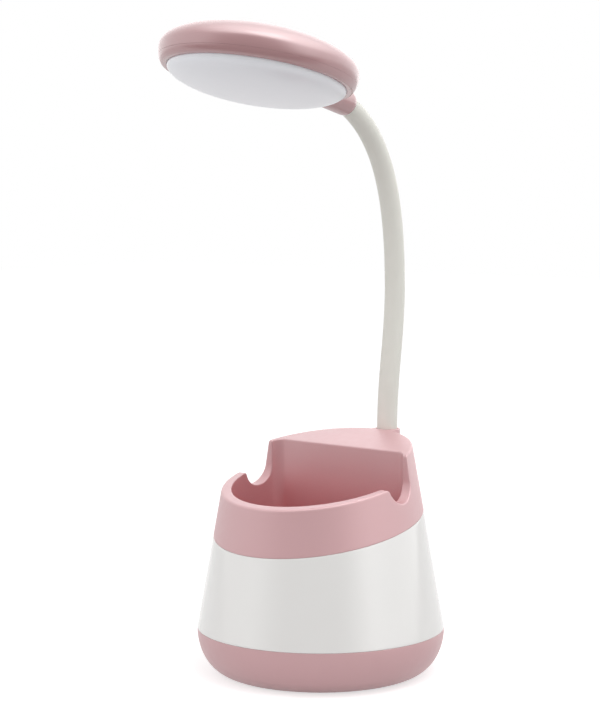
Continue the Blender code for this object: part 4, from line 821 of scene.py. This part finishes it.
def spread(value, along, height):
    """Where each column ends below: even in the edge's own length on both sides of the notch's
    lowest point, so that no column crosses another."""
    steps = np.hypot(np.diff(along), np.diff(height))
    length = np.concatenate([[0], np.cumsum(steps)])
    middle = len(length) // 3 + int(np.argmin(height[len(height) // 3 : 2 * len(height) // 3]))
    return np.interp(length, length[[0, middle, -1]], value[[0, middle, -1]])


def mirrored(rows):
    """The right half's rows closed by their mirror image in x."""
    left = rows[:, -2:0:-1] * [-1, 1, 1]
    return np.concatenate([rows, left], axis=1)


def well_rows(low_run, length, height):
    """From the middle of the well's floor, round its edge by a quarter circle and up the wall to
    given lengths and heights. The rows lie closer together towards the top."""
    middle = np.array([0, WELL_MIDDLE, WELL_FLOOR])
    floor = well_point(low_run, WELL_FLOOR, -FLOOR_ROUNDING)
    rows = [middle + (floor - middle) * share for share in np.linspace(0, 1, 8)]
    for bend in np.linspace(0, math.pi / 2, 8)[1:]:
        grow = FLOOR_ROUNDING * (math.sin(bend) - 1)
        rows.append(well_point(low_run, WELL_FLOOR + FLOOR_ROUNDING * (1 - math.cos(bend)), grow))
    foot = WELL_FLOOR + FLOOR_ROUNDING
    low_length = run_to_length(low_run)
    for share in 1 - (1 - np.linspace(0, 1, 27)[1:]) ** ROW_GATHERING:
        at_length = low_length + (length - low_length) * share
        rows.append(well_point(length_to_run(at_length), foot + (height - foot) * share))
    return rows


def rim_rows(well_edge, inner_edge, outer_edge, wall_edge, outer_leg):
    """Over the rim: its rounded inner edge, its flat top and its rounded outer edge."""
    across = inner_edge - outer_edge
    across /= np.linalg.norm(across, axis=1)[:, None]
    top_inner = inner_edge - across * RIM_INNER_ROUNDING
    top_outer = outer_edge + across * outer_leg[:, None]
    rows = list(corner_rows(well_edge, inner_edge, top_inner, 6)[1:])
    rows += list(between(top_inner, top_outer, 4)[1:])
    rows += list(corner_rows(top_outer, outer_edge, wall_edge, 6)[1:])
    return rows


def wall_rows(turn, height, low_turn):
    """Down the cone's outside from given angles and heights to the raked seam's rounded edge.
    The rows lie closer together towards the top."""
    seam = raked_height(low_turn, SEAM_HEIGHT + SEAM_ROUNDING)
    rows = []
    for share in np.linspace(0, 1, 27)[1:] ** ROW_GATHERING:
        rows.append(level_ring(turn + (low_turn - turn) * share, height + (seam - height) * share))
    edge = raked_ring(low_turn, SEAM_HEIGHT)
    inner = raked_ring(low_turn, SEAM_HEIGHT, SEAM_ROUNDING)
    rows += list(corner_rows(rows[-1], edge, inner)[1:])
    return rows


def hidden_rows(low_turn, low_run):
    """Round the spigot, up the shell's inside to its ceiling, which is higher under the deck,
    down the cup's outside and in to the middle of its underside."""
    chamfer = SPIGOT_CHAMFER
    spigot = [
        (SPIGOT_OUTER, 0), (SPIGOT_OUTER, chamfer - SPIGOT_DEPTH), (SPIGOT_OUTER + chamfer, -SPIGOT_DEPTH),
        (SPIGOT_INNER - chamfer, -SPIGOT_DEPTH), (SPIGOT_INNER, chamfer - SPIGOT_DEPTH),
    ]
    rows = [raked_ring(low_turn, SEAM_HEIGHT + height, inset) for inset, height in spigot]
    deck_start, deck_turning = 20, 12
    under_deck = eased((np.degrees(low_turn) - deck_start) / deck_turning)
    wall_top = raked_height(low_turn, DECK_HEIGHT - DECK_WALL, SPIGOT_INNER)
    cup_top = DECK_HEIGHT - DECK_WALL + RAKE * well_point(low_run, RIM_HEIGHT, CUP_WALL)[:, 1]
    wall_top = SHELL_CEILING * (1 - under_deck) + wall_top * under_deck
    cup_top = SHELL_CEILING * (1 - under_deck) + cup_top * under_deck
    wall_low = raked_height(low_turn, SEAM_HEIGHT + chamfer - SPIGOT_DEPTH, SPIGOT_INNER)
    for share in np.linspace(0, 1, 5)[1:]:
        rows.append(level_ring(low_turn, wall_low + (wall_top - wall_low) * share, SPIGOT_INNER))
    cup_low = WELL_UNDERSIDE + CUP_CHAMFER
    for share in np.linspace(1, 0, 7):
        rows.append(well_point(low_run, cup_low + (cup_top - cup_low) * share, CUP_WALL))
    middle = np.array([0, WELL_MIDDLE, WELL_UNDERSIDE])
    edge = well_point(low_run, WELL_UNDERSIDE, CUP_WALL - CUP_CHAMFER)
    return rows + [middle + (edge - middle) * share for share in (1, 0.66, 0.33, 0)]


def shell_rows():
    """One closed skin in columns from the middle of the well's floor up its wall, over the rim,
    down the cone to the raked seam, and back up and down inside."""
    turn, height, length, inner = rim_edges()
    notch_turns = [-0.7, -0.3, 0.42, 0.7]
    roundings = [RIM_ROUNDING, NOTCH_ROUNDING, NOTCH_ROUNDING, RIM_ROUNDING]
    outer_leg = np.interp(turn, notch_turns, roundings)
    wall_length, wall_height = set_back(turn * CONE_REACH, height, outer_leg)
    wall_turn = np.clip(wall_length / CONE_REACH, -math.pi / 2, math.pi / 2)
    well_length, well_height = set_back(length, inner, RIM_INNER_ROUNDING)
    well_length = np.clip(well_length, 0, RUN_LENGTHS[-1])
    low_turn = spread(turn, turn * CONE_REACH, height)
    low_run = length_to_run(spread(length, length, inner))
    inner_edge = well_point(length_to_run(length), inner)
    outer_edge = level_ring(turn, height)
    wall_edge = level_ring(wall_turn, wall_height)
    rows = well_rows(low_run, well_length, well_height)
    rows += rim_rows(rows[-1], inner_edge, outer_edge, wall_edge, outer_leg)
    rows += wall_rows(wall_turn, wall_height, low_turn)
    rows += hidden_rows(low_turn, low_run)
    return mirrored(np.array(rows))


def ear_rows():
    """The lug's outline in plan is half a circle with straight sides to the front. Its size runs
    from the root to the full lug along 0.65 t + 0.35 (3 t^2 - 2 t^3), then up to the rounded top,
    and down the bore."""
    turn = np.linspace(0, math.tau, 96, endpoint=False)
    cosine, sine = np.cos(turn), np.sin(turn)
    depth = EAR_REACH - pot_radius(EAR_TOP) + 2 * OVERLAP

    def outline(reach_y, radius, height):
        """The lug in plan: half a circle behind its middle, and straight sides ahead of it."""
        side = np.minimum(radius / np.maximum(np.abs(cosine), 1e-6), depth / np.maximum(-sine, 1e-6))
        reach = np.where(sine >= 0, radius, np.minimum(side, radius * 3))
        return np.stack([reach * cosine, reach_y + reach * sine, height + 0 * turn], -1)

    def circle(reach_y, radius, height):
        """A level circle about a point behind the axis: x = r cos a, y = c + r sin a."""
        return np.stack([radius * cosine, reach_y + radius * sine, height + 0 * turn], -1)

    straight = SEAT_BOTTOM - EAR_FLOOR
    root_reach = pot_radius(EAR_ROOT) - EAR_ROOT_RADIUS - GAP
    root = circle(root_reach, EAR_ROOT_RADIUS, EAR_ROOT)
    full = outline(EAR_REACH, EAR_RADIUS, straight)
    rows = [circle(root_reach, 0, EAR_ROOT)]
    for share in np.linspace(0, 1, 15):
        row = root + (full - root) * (0.35 * eased(share) + 0.65 * share)
        row[:, 2] = EAR_ROOT + (straight - EAR_ROOT) * share
        rows.append(row)
    bore = NECK_RADIUS + GAP
    side = outline(EAR_REACH, EAR_RADIUS, EAR_TOP - EAR_ROUNDING)
    corner = outline(EAR_REACH, EAR_RADIUS, EAR_TOP)
    top = outline(EAR_REACH, EAR_RADIUS - EAR_ROUNDING, EAR_TOP)
    rows += list(corner_rows(side, corner, top))
    mouth = circle(EAR_REACH, bore + GAP, EAR_TOP)
    corner = circle(EAR_REACH, bore, EAR_TOP)
    rows += list(corner_rows(mouth, corner, circle(EAR_REACH, bore, EAR_TOP - GAP), 4))
    rows += [circle(EAR_REACH, bore, SEAT_BOTTOM), circle(EAR_REACH, 0, SEAT_BOTTOM)]
    return np.array(rows)


def make_shell():
    """The shell's skin, the lug behind it and a bored post over each of the bowl's pillars."""
    low, high = PILLAR_TOP + GAP, WELL_UNDERSIDE + OVERLAP
    post = [(SCREW_HOLE, low), (POST_RADIUS, low), (POST_RADIUS, high), (SCREW_HOLE, high)]
    parts = [closed_rows(shell_rows()), closed_rows(ear_rows())]
    for x, y in PILLAR_PLACES:
        parts.append(revolved(post, 32, Matrix.Translation((x, y, 0))))
    shell = make_mesh("pen_holder_moulding", parts, 50)
    # The shell's well carries painted shade, a deeper rose in its hollows
    finished(shell, WELL_PINK_PAINTED_SHADE, "base", "pink_plastic", "pen_holder_shell")


# Gooseneck


def cubic(points, share):
    """A cubic curve a u^3 + 3 b u^2 t + 3 c u t^2 + d t^3, u = 1 - t, and its slope."""
    a, b, c, d = points
    share = share[:, None]
    rest = 1 - share
    place = a * rest**3 + 3 * b * rest**2 * share + 3 * c * rest * share**2 + d * share**3
    slope = (b - a) * rest**2 + 2 * (c - b) * rest * share + (d - c) * share**2
    return place, slope / np.linalg.norm(slope, axis=1)[:, None]


def neck_line():
    """The gooseneck's middle line: two cubic curves that meet at its rearmost point, and the
    distance along them. Each end holds its direction for a share of its curve's height."""
    up = np.array([0.0, 0.0, 1.0])
    tip = np.array(HEAD_FRAME @ Vector((0, STEM_REACH, STEM_RISE)))
    belly = FOOT + [0, BELLY_BACK, BELLY_HEIGHT]
    rise = tip[2] - belly[2]
    tip_way = np.array([0, -math.cos(TIP_ANGLE), math.sin(TIP_ANGLE)])
    lower = (FOOT, FOOT + up * BELLY_HEIGHT * FOOT_HOLD, belly - up * BELLY_HEIGHT * BELLY_HOLD, belly)
    upper = (belly, belly + up * rise * RISE_HOLD, tip - tip_way * rise * TIP_HOLD, tip)
    share = np.linspace(0, 1, 201)
    first, first_way = cubic(lower, share)
    second, second_way = cubic(upper, share)
    places = np.concatenate([first, second[1:]])
    ways = np.concatenate([first_way, second_way[1:]])
    run = np.concatenate([[0], np.cumsum(np.linalg.norm(np.diff(places, axis=0), axis=1))])
    return run, places, ways


NECK_RUN, NECK_PLACES, NECK_WAYS = neck_line()


def neck_at(run):
    """The place and direction at distances along the middle line. It goes straight on below."""
    place = np.stack([np.interp(run, NECK_RUN, NECK_PLACES[:, at]) for at in range(3)], -1)
    way = np.stack([np.interp(run, NECK_RUN, NECK_WAYS[:, at]) for at in range(3)], -1)
    place[:, 2] += np.minimum(run, 0)
    return place, way / np.linalg.norm(way, axis=1)[:, None]


def joint_runs():
    """The hinges' distances along the middle line, evenly spaced."""
    step = (NECK_RUN[-1] - FIRST_JOINT - LAST_JOINT) / (NECK_JOINTS - 1)
    return FIRST_JOINT + step * np.arange(NECK_JOINTS)


def make_neck():
    """Each stretch of skin is a circle carried along the middle line, X cos a + U sin a about
    it, where U is square to X and to the line. It crosses one joint."""
    runs = joint_runs()
    ends = np.concatenate([[-SLEEVE_FOOT], (runs[1:] + runs[:-1]) / 2, [NECK_RUN[-1] - GAP]])
    nodes = [(f"neck_sleeve_{at}",) for at in range(NECK_JOINTS - 1)] + [("neck_sleeve_5", "neck_sleeve_6")]
    turn = np.linspace(0, math.tau, 48, endpoint=False)
    for at in range(NECK_JOINTS):
        run = np.linspace(ends[at], ends[at + 1], 45)
        place, way = neck_at(run)
        side = np.array([1.0, 0, 0])
        up = np.cross(way, side)
        spokes = side * np.cos(turn)[None, :, None] + up[:, None] * np.sin(turn)[None, :, None]
        outside = place[:, None] + NECK_RADIUS * spokes
        inside = place[:, None] + NECK_INNER * spokes
        rows = np.concatenate([outside, inside[::-1]])
        skin = make_mesh(f"silicone_skin_{at + 1}", [closed_rows(rows, poles=False)])
        strip_map(skin)
        finished(skin, MATT_SILICONE, None, "silicone_sleeve", *nodes[at])
        joint, joint_way = neck_at(runs[at : at + 1])
        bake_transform(skin)


def strip_map(skin):
    """A map in metres on the skin: u is the way round it and v the distance along it, each read
    from the nearest point of the middle line."""
    mesh = skin.data
    points = np.zeros(len(mesh.vertices) * 3)
    mesh.vertices.foreach_get("co", points)
    points = points.reshape(-1, 3) / MM
    corners = np.zeros(len(mesh.loops), int)
    mesh.loops.foreach_get("vertex_index", corners)
    line = np.concatenate([FOOT[None] + [[0, 0, -SLEEVE_FOOT]], NECK_PLACES])
    run = np.concatenate([[-SLEEVE_FOOT], NECK_RUN])
    nearest = ((points[:, None, 1:] - line[None, :, 1:]) ** 2).sum(-1).argmin(1)
    around = np.arctan2(points[:, 0], np.linalg.norm(points[:, 1:] - line[nearest, 1:], axis=1))
    layout = np.stack([around * NECK_RADIUS * MM, run[nearest] * MM], -1)
    mesh.uv_layers.new(name="strip").data.foreach_set("uv", layout[corners].astype(np.float32).ravel())


# Head


def rim_radius(height):
    """Under the waist the side draws in, r = R - w (1 - sqrt(1 - s^2)), where s runs from 0 at
    the waist to 1 at the lower rim."""
    share = np.clip((WAIST_RISE - height) / (WAIST_RISE + RING_DEPTH), 0, 1)
    return HEAD_RADIUS - RING_ROUND * (1 - np.sqrt(1 - share**2))


def rim_profile(low, high, steps=16):
    """The head's side under the waist, upwards, closer together towards the lower rim."""
    height = high - (high - low) * np.sin(np.linspace(math.pi / 2, 0, steps + 1))
    return np.stack([rim_radius(height), height], -1)


def dome_height(radius, inset=0.0):
    """The dome over a radius: z = W + (H - i) sqrt(1 - (r / (R - i))^2)."""
    return WAIST_RISE + (DOME_HEIGHT - inset) * math.sqrt(1 - (radius / (HEAD_RADIUS - inset)) ** 2)


def make_cover():
    """Half an ellipse over the waist and a short skirt under it, hollow, with three bosses."""
    outside = quarter(HEAD_RADIUS, DOME_HEIGHT, 56) + [0, WAIST_RISE]
    inside = quarter(HEAD_RADIUS - COVER_WALL, DOME_HEIGHT - COVER_WALL)[::-1] + [0, WAIST_RISE]
    skirt = rim_profile(HEAD_SEAM / 2, WAIST_RISE, 8)[:-1]
    profile = np.concatenate([inside, [(HEAD_RADIUS - COVER_WALL, HEAD_SEAM / 2)], skirt, outside])
    legs = np.zeros(len(profile))
    legs[len(inside) + 1] = HEAD_SEAM_ROUNDING
    cover = make_mesh("head_cover_moulding", [revolved(softened(profile, legs), 192, HEAD_FRAME)])
    hole = HEAD_FRAME @ Matrix.Translation((0, TONGUE_START + GAP, TONGUE_RISE)) @ TO_REAR
    wide, end = TONGUE_RADIUS + GAP, TONGUE_HOLE_LENGTH
    cutter = revolved([(0, 0), (wide, 0), (wide, end), (0, end)], 48, hole)
    layers = (FLANGE_THICKNESS, REFLECTOR_THICKNESS, LED_BOARD_THICKNESS)
    foot = -RING_DEPTH + RING_LEDGE + GAP + sum(layers) + GAP * len(layers)
    inner_side = dome_height(HEAD_BOSS_REACH - BOSS_RADIUS, COVER_WALL)
    outer_side = dome_height(HEAD_BOSS_REACH + BOSS_RADIUS)
    high = (inner_side + outer_side) / 2 - foot
    bosses = []
    for angle in np.radians((30, 150, 270)):
        x, y = HEAD_BOSS_REACH * math.cos(angle), HEAD_BOSS_REACH * math.sin(angle)
        bosses.append(revolved(boss_outline(high), 32, HEAD_FRAME @ Matrix.Translation((x, y, foot))))
    carved(cover, [make_mesh("cover_hole", [cutter])], [make_mesh("cover_bosses", bosses)])
    finished(cover, GLOSS_PINK_ABS, "head", "pink_gloss_plastic", "head_cover")


def make_ring():
    """The lower rim, round outside and a stepped ledge inside."""
    edge = rim_profile(-RING_DEPTH, -HEAD_SEAM / 2)[::-1]
    ledge = -RING_DEPTH + RING_LEDGE
    flange = LENS_RADIUS + LENS_FLANGE + GAP
    inside = [
        (LENS_RADIUS + SEAM_GAP, -RING_DEPTH), (LENS_RADIUS + SEAM_GAP, ledge), (flange, ledge),
        (flange, -HEAD_SEAM / 2),
    ]
    profile = np.concatenate([edge, inside])
    legs = np.zeros(len(profile))
    legs[0] = HEAD_SEAM_ROUNDING
    legs[len(edge)] = RING_INNER_ROUNDING
    ring = make_mesh("head_ring_moulding", [revolved(softened(profile, legs, closed=True), 192, HEAD_FRAME)])
    finished(ring, GLOSS_PINK_ABS, "head", "pink_gloss_plastic", "head_ring")


def make_lens():
    """A thin dome of half an ellipse under the ring, with a flange on the ledge."""
    outside = quarter(LENS_RADIUS, LENS_DEPTH, 48)[::-1] * [1, -1] - [0, RING_DEPTH]
    inside = quarter(LENS_RADIUS - LENS_WALL, LENS_DEPTH - LENS_WALL) * [1, -1] - [0, RING_DEPTH]
    low = -RING_DEPTH + RING_LEDGE + GAP
    reach = LENS_RADIUS + LENS_FLANGE
    top = low + FLANGE_THICKNESS
    flange = [(LENS_RADIUS, low), (reach, low), (reach, top), (LENS_RADIUS - LENS_WALL, top)]
    profile = np.concatenate([outside, flange, inside])
    lens = make_mesh("opal_lens", [revolved(profile, 192, HEAD_FRAME)])
    finished(lens, OPAL_POLYCARBONATE, "head", "opal_diffuser", "lens_diffuser")


def make_stem():
    """A round-ended bar behind the head, hollowed to clear the head's side and bored for the
    gooseneck, with the tongue that passes through the cover's wall."""
    start = HEAD_RADIUS - STEM_RADIUS
    turn = np.linspace(0, math.pi / 2, 25)
    end = np.stack([STEM_RADIUS * np.cos(turn), STEM_REACH + STEM_RADIUS * np.sin(turn)], -1)
    profile = np.concatenate([[(0, start), (STEM_RADIUS, start)], end])
    profile[-1, 0] = 0
    axis = Matrix.Translation((0, 0, STEM_RISE)) @ TO_REAR
    stem = make_mesh("stem_moulding", [revolved(profile, 96, HEAD_FRAME @ axis)])
    upper = quarter(HEAD_RADIUS + SEAM_GAP, DOME_HEIGHT + SEAM_GAP) + [0, WAIST_RISE]
    lower = rim_profile(-RING_DEPTH, WAIST_RISE)[:-1] + [SEAM_GAP, 0]
    under = -RING_DEPTH - STEM_RADIUS
    space = np.concatenate([[(0, under), (lower[0, 0], under)], lower, upper])
    tip_place, tip_way = NECK_PLACES[-1], NECK_WAYS[-1]
    mouth = rod(tip_place - tip_way * 2 * STEM_RADIUS, tip_way, NECK_RADIUS + GAP, 2 * STEM_RADIUS)
    cutters = [make_mesh("head_space", [revolved(space, 192, HEAD_FRAME)]), make_mesh("stem_mouth", [mouth])]
    carved(stem, cutters)
    place = HEAD_FRAME @ Matrix.Translation((0, TONGUE_START, TONGUE_RISE)) @ TO_REAR
    tongue = [
        (TONGUE_BORE, 0), (TONGUE_RADIUS, 0), (TONGUE_RADIUS, TONGUE_LENGTH), (TONGUE_BORE, TONGUE_LENGTH),
    ]
    made = make_mesh("stem_tongue", [revolved(tongue, 48, place)])
    finished(made, GLOSS_PINK_ABS, "head", "pink_gloss_plastic")
    finished(stem, GLOSS_PINK_ABS, "head", "pink_gloss_plastic", "head_stem")


def dress(material, *names):
    """Every CAD node whose name starts with one of these takes the material."""
    for name, node in frame["nodes"].items():
        if name.startswith(names):
            node.data.materials.clear()
            node.data.materials.append(material)


def dress_frame():
    """The CAD's own nodes, those that a finer piece replaces too."""
    dress(ZINC_PLATE, "base_screw", "weight_screw", "board_screw", "head_screw")
    dress(ZINC_PLATE, "neck_lock_screw", "stem_clip")
    dress(MILL_STEEL, "counterweight")
    dress(BLUE_SHRINK, "battery_cell")
    dress(BLACK_ABS, "battery_cradle", "tact_switch")
    dress(RED_PVC, "battery_lead", "lamp_lead", "head_lead", "neck_lead")
    dress(GREEN_BOARD, "main_board")
    dress(SPRING_STEEL, "neck_core")
    dress(TURNED_BRASS, "lower_ferrule")
    dress(WHITE_BOARD, "led_board")
    dress(WHITE_FILM, "reflector_ring")
    dress(MATT_SILICONE, "neck_sleeve")
    dress(SATIN_PINK_ABS, "base_bowl", "pen_holder_shell", "power_button")
    dress(GLOSS_PINK_ABS, "head_cover", "head_ring", "head_stem")
    dress(GLOSS_WHITE_ABS, "body_band")
    dress(OPAL_POLYCARBONATE, "lens_diffuser")
    dress(NITRILE_RUBBER, "anti_slip_pad")
    dress(TIN_PLATE, "charging_socket")


# Studio


def make_floor():
    """A wide pale floor, raised to white for the camera, under the lamp's shadow. Gloss meets a
    floor that is bright behind the lamp and falls dark towards the unlit side in front."""
    edge = 3000.0
    corners = np.array([[-edge, -edge, 0], [edge, -edge, 0], [edge, edge, 0], [-edge, edge, 0]])
    floor = make_mesh("studio_floor", [(corners, np.array([[0, 1, 2, 3]]))])
    material = bpy.data.materials.new("studio_paper")
    material.use_nodes = True
    tree = material.node_tree
    tree.nodes.clear()
    ray = add_node(tree, "ShaderNodeLightPath")
    place = add_node(tree, "ShaderNodeNewGeometry").outputs["Position"]
    ahead = add_node(tree, "ShaderNodeVectorMath", {0: place, 1: UNLIT_SIDE}, operation="DOT_PRODUCT")
    fall = add_node(tree, "ShaderNodeMapRange", {
        "Value": ahead.outputs["Value"],
        "From Min": 100 * MM,
        "From Max": 420 * MM,
        "To Min": 1.0,
        "To Max": 0.12,
    }, interpolation_type="SMOOTHSTEP").outputs["Result"]
    shade = add_node(tree, "ShaderNodeMix", {
        0: ray.outputs["Is Glossy Ray"], 2: 1.0, 3: fall,
    }).outputs[0]
    tone = add_node(tree, "ShaderNodeMix", {
        0: shade, 6: (0, 0, 0, 1), 7: linear("d2d2d2"),
    }, data_type="RGBA")
    paper = add_node(tree, "ShaderNodeBsdfDiffuse", {"Color": tone.outputs[2]})
    seen = add_node(tree, "ShaderNodeMath", {
        0: ray.outputs["Is Glossy Ray"], 1: fall, 2: ray.outputs["Is Camera Ray"],
    }, operation="MULTIPLY_ADD")
    lift = add_node(tree, "ShaderNodeMath", {0: seen.outputs[0], 1: 0.62}, operation="MULTIPLY")
    glow = add_node(tree, "ShaderNodeEmission", {"Color": (1, 1, 1, 1), "Strength": lift.outputs[0]})
    both = add_node(tree, "ShaderNodeAddShader", {0: paper.outputs[0], 1: glow.outputs[0]})
    add_node(tree, "ShaderNodeOutputMaterial", {"Surface": both.outputs[0]})
    floor.data.materials.append(material)


def make_world():
    """A soft grey room lights the object, brighter in front of it, and the camera sees white.
    Gloss meets a bright backdrop, a broad soft lamp overhead and an unlit side in front."""
    world = bpy.data.worlds.new("white_studio")
    bpy.context.scene.world = world
    world.use_nodes = True
    tree = world.node_tree
    tree.nodes.clear()
    ray = add_node(tree, "ShaderNodeLightPath")
    way = add_node(tree, "ShaderNodeTexCoord").outputs["Generated"]

    def towards(direction, nearest, furthest, away, there):
        """From one value away from a direction to another near it, between two cosines of the
        angle to it."""
        cosine = add_node(tree, "ShaderNodeVectorMath", {0: way, 1: direction}, operation="DOT_PRODUCT")
        return add_node(tree, "ShaderNodeMapRange", {
            "Value": cosine.outputs["Value"],
            "From Min": furthest,
            "From Max": nearest,
            "To Min": away,
            "To Max": there,
        }, interpolation_type="SMOOTHSTEP").outputs["Result"]

    backdrop = towards((0.85, 0.53, 0.0), 0.8, -0.8, 1.6, 2.4)
    overhead = towards((0.41, -0.11, 0.91), 0.985, 0.34, 0.0, 3.3)
    unlit = towards(UNLIT_SIDE, 0.94, 0.45, 1.0, 0.12)
    lit = add_node(tree, "ShaderNodeMath", {0: backdrop, 1: overhead}, operation="ADD")
    level = add_node(tree, "ShaderNodeMath", {0: lit.outputs[0], 1: unlit}, operation="MULTIPLY")
    ahead = towards((0.45, -0.87, 0.2), 1.0, -0.2, 0.5, 0.95)
    room = add_node(tree, "ShaderNodeBackground", {"Color": (1, 1, 1, 1), "Strength": ahead})
    gloss = add_node(tree, "ShaderNodeBackground", {"Color": (1, 1, 1, 1), "Strength": level.outputs[0]})
    white = add_node(tree, "ShaderNodeBackground", {"Color": (1, 1, 1, 1), "Strength": 1.0})
    seen = add_node(tree, "ShaderNodeMath", {
        0: ray.outputs["Is Camera Ray"], 1: ray.outputs["Is Transmission Ray"],
    }, operation="MAXIMUM")
    inner = add_node(tree, "ShaderNodeMixShader", {
        0: ray.outputs["Is Glossy Ray"], 1: room.outputs[0], 2: gloss.outputs[0],
    })
    outer = add_node(tree, "ShaderNodeMixShader", {
        0: seen.outputs[0], 1: inner.outputs[0], 2: white.outputs[0],
    })
    add_node(tree, "ShaderNodeOutputWorld", {"Surface": outer.outputs[0]})


def add_lamp(name, place, target, size, power, gloss=True):
    """A square soft lamp, aimed from its place at a target, both in millimetres. With gloss off
    it isn't mirrored."""
    lamp = bpy.data.lights.new(name, "AREA")
    lamp.shape = "SQUARE"
    lamp.size = size * MM
    lamp.energy = power
    made = bpy.data.objects.new(name, lamp)
    bpy.context.scene.collection.objects.link(made)
    made.location = Vector(place) * MM
    made.rotation_euler = (Vector(place) - Vector(target)).to_track_quat("Z", "Y").to_euler()
    made.visible_glossy = gloss


def make_camera():
    """The photograph's view: 39.5 degrees to the lamp's right, 5.4 above level, a metre away."""
    azimuth, elevation, distance = math.radians(39.52), math.radians(5.43), 1000.0
    target = Vector((0, 0, 152.65))
    level = math.cos(elevation)
    back = Vector((math.sin(azimuth) * level, -math.cos(azimuth) * level, math.sin(elevation)))
    width, height = PHOTO_SIZE
    lens = bpy.data.cameras.new("photo_camera")
    lens.sensor_fit = "VERTICAL"
    lens.sensor_height = 36
    lens.lens = FOCAL_LENGTH / height * lens.sensor_height
    lens.shift_x = (width / 2 - CENTRE_COLUMN) / height
    camera = bpy.data.objects.new("photo_camera", lens)
    bpy.context.scene.collection.objects.link(camera)
    camera.location = (target + back * distance) * MM
    camera.rotation_euler = back.to_track_quat("Z", "Y").to_euler()
    bpy.context.scene.camera = camera


def main():
    """Dresses the frame, makes each piece from the pad upwards, and lights the studio."""
    dress_frame()
    make_pad()
    make_bowl()
    make_band()
    make_socket()
    make_button()
    make_shell()
    make_neck()
    make_cover()
    make_ring()
    make_lens()
    make_stem()
    make_floor()
    make_world()
    add_lamp("key_lamp", (430, -155, 1240), (0, 0, 150), 640, 3.3)
    add_lamp("rear_lamp", (500, 550, 750), (0, 0, 120), 700, 1.7, gloss=False)
    add_lamp("side_lamp", (-700, -700, 400), (0, 0, 120), 700, 1.3, gloss=False)
    make_camera()
    bpy.context.scene.view_settings.view_transform = "Standard"


main()
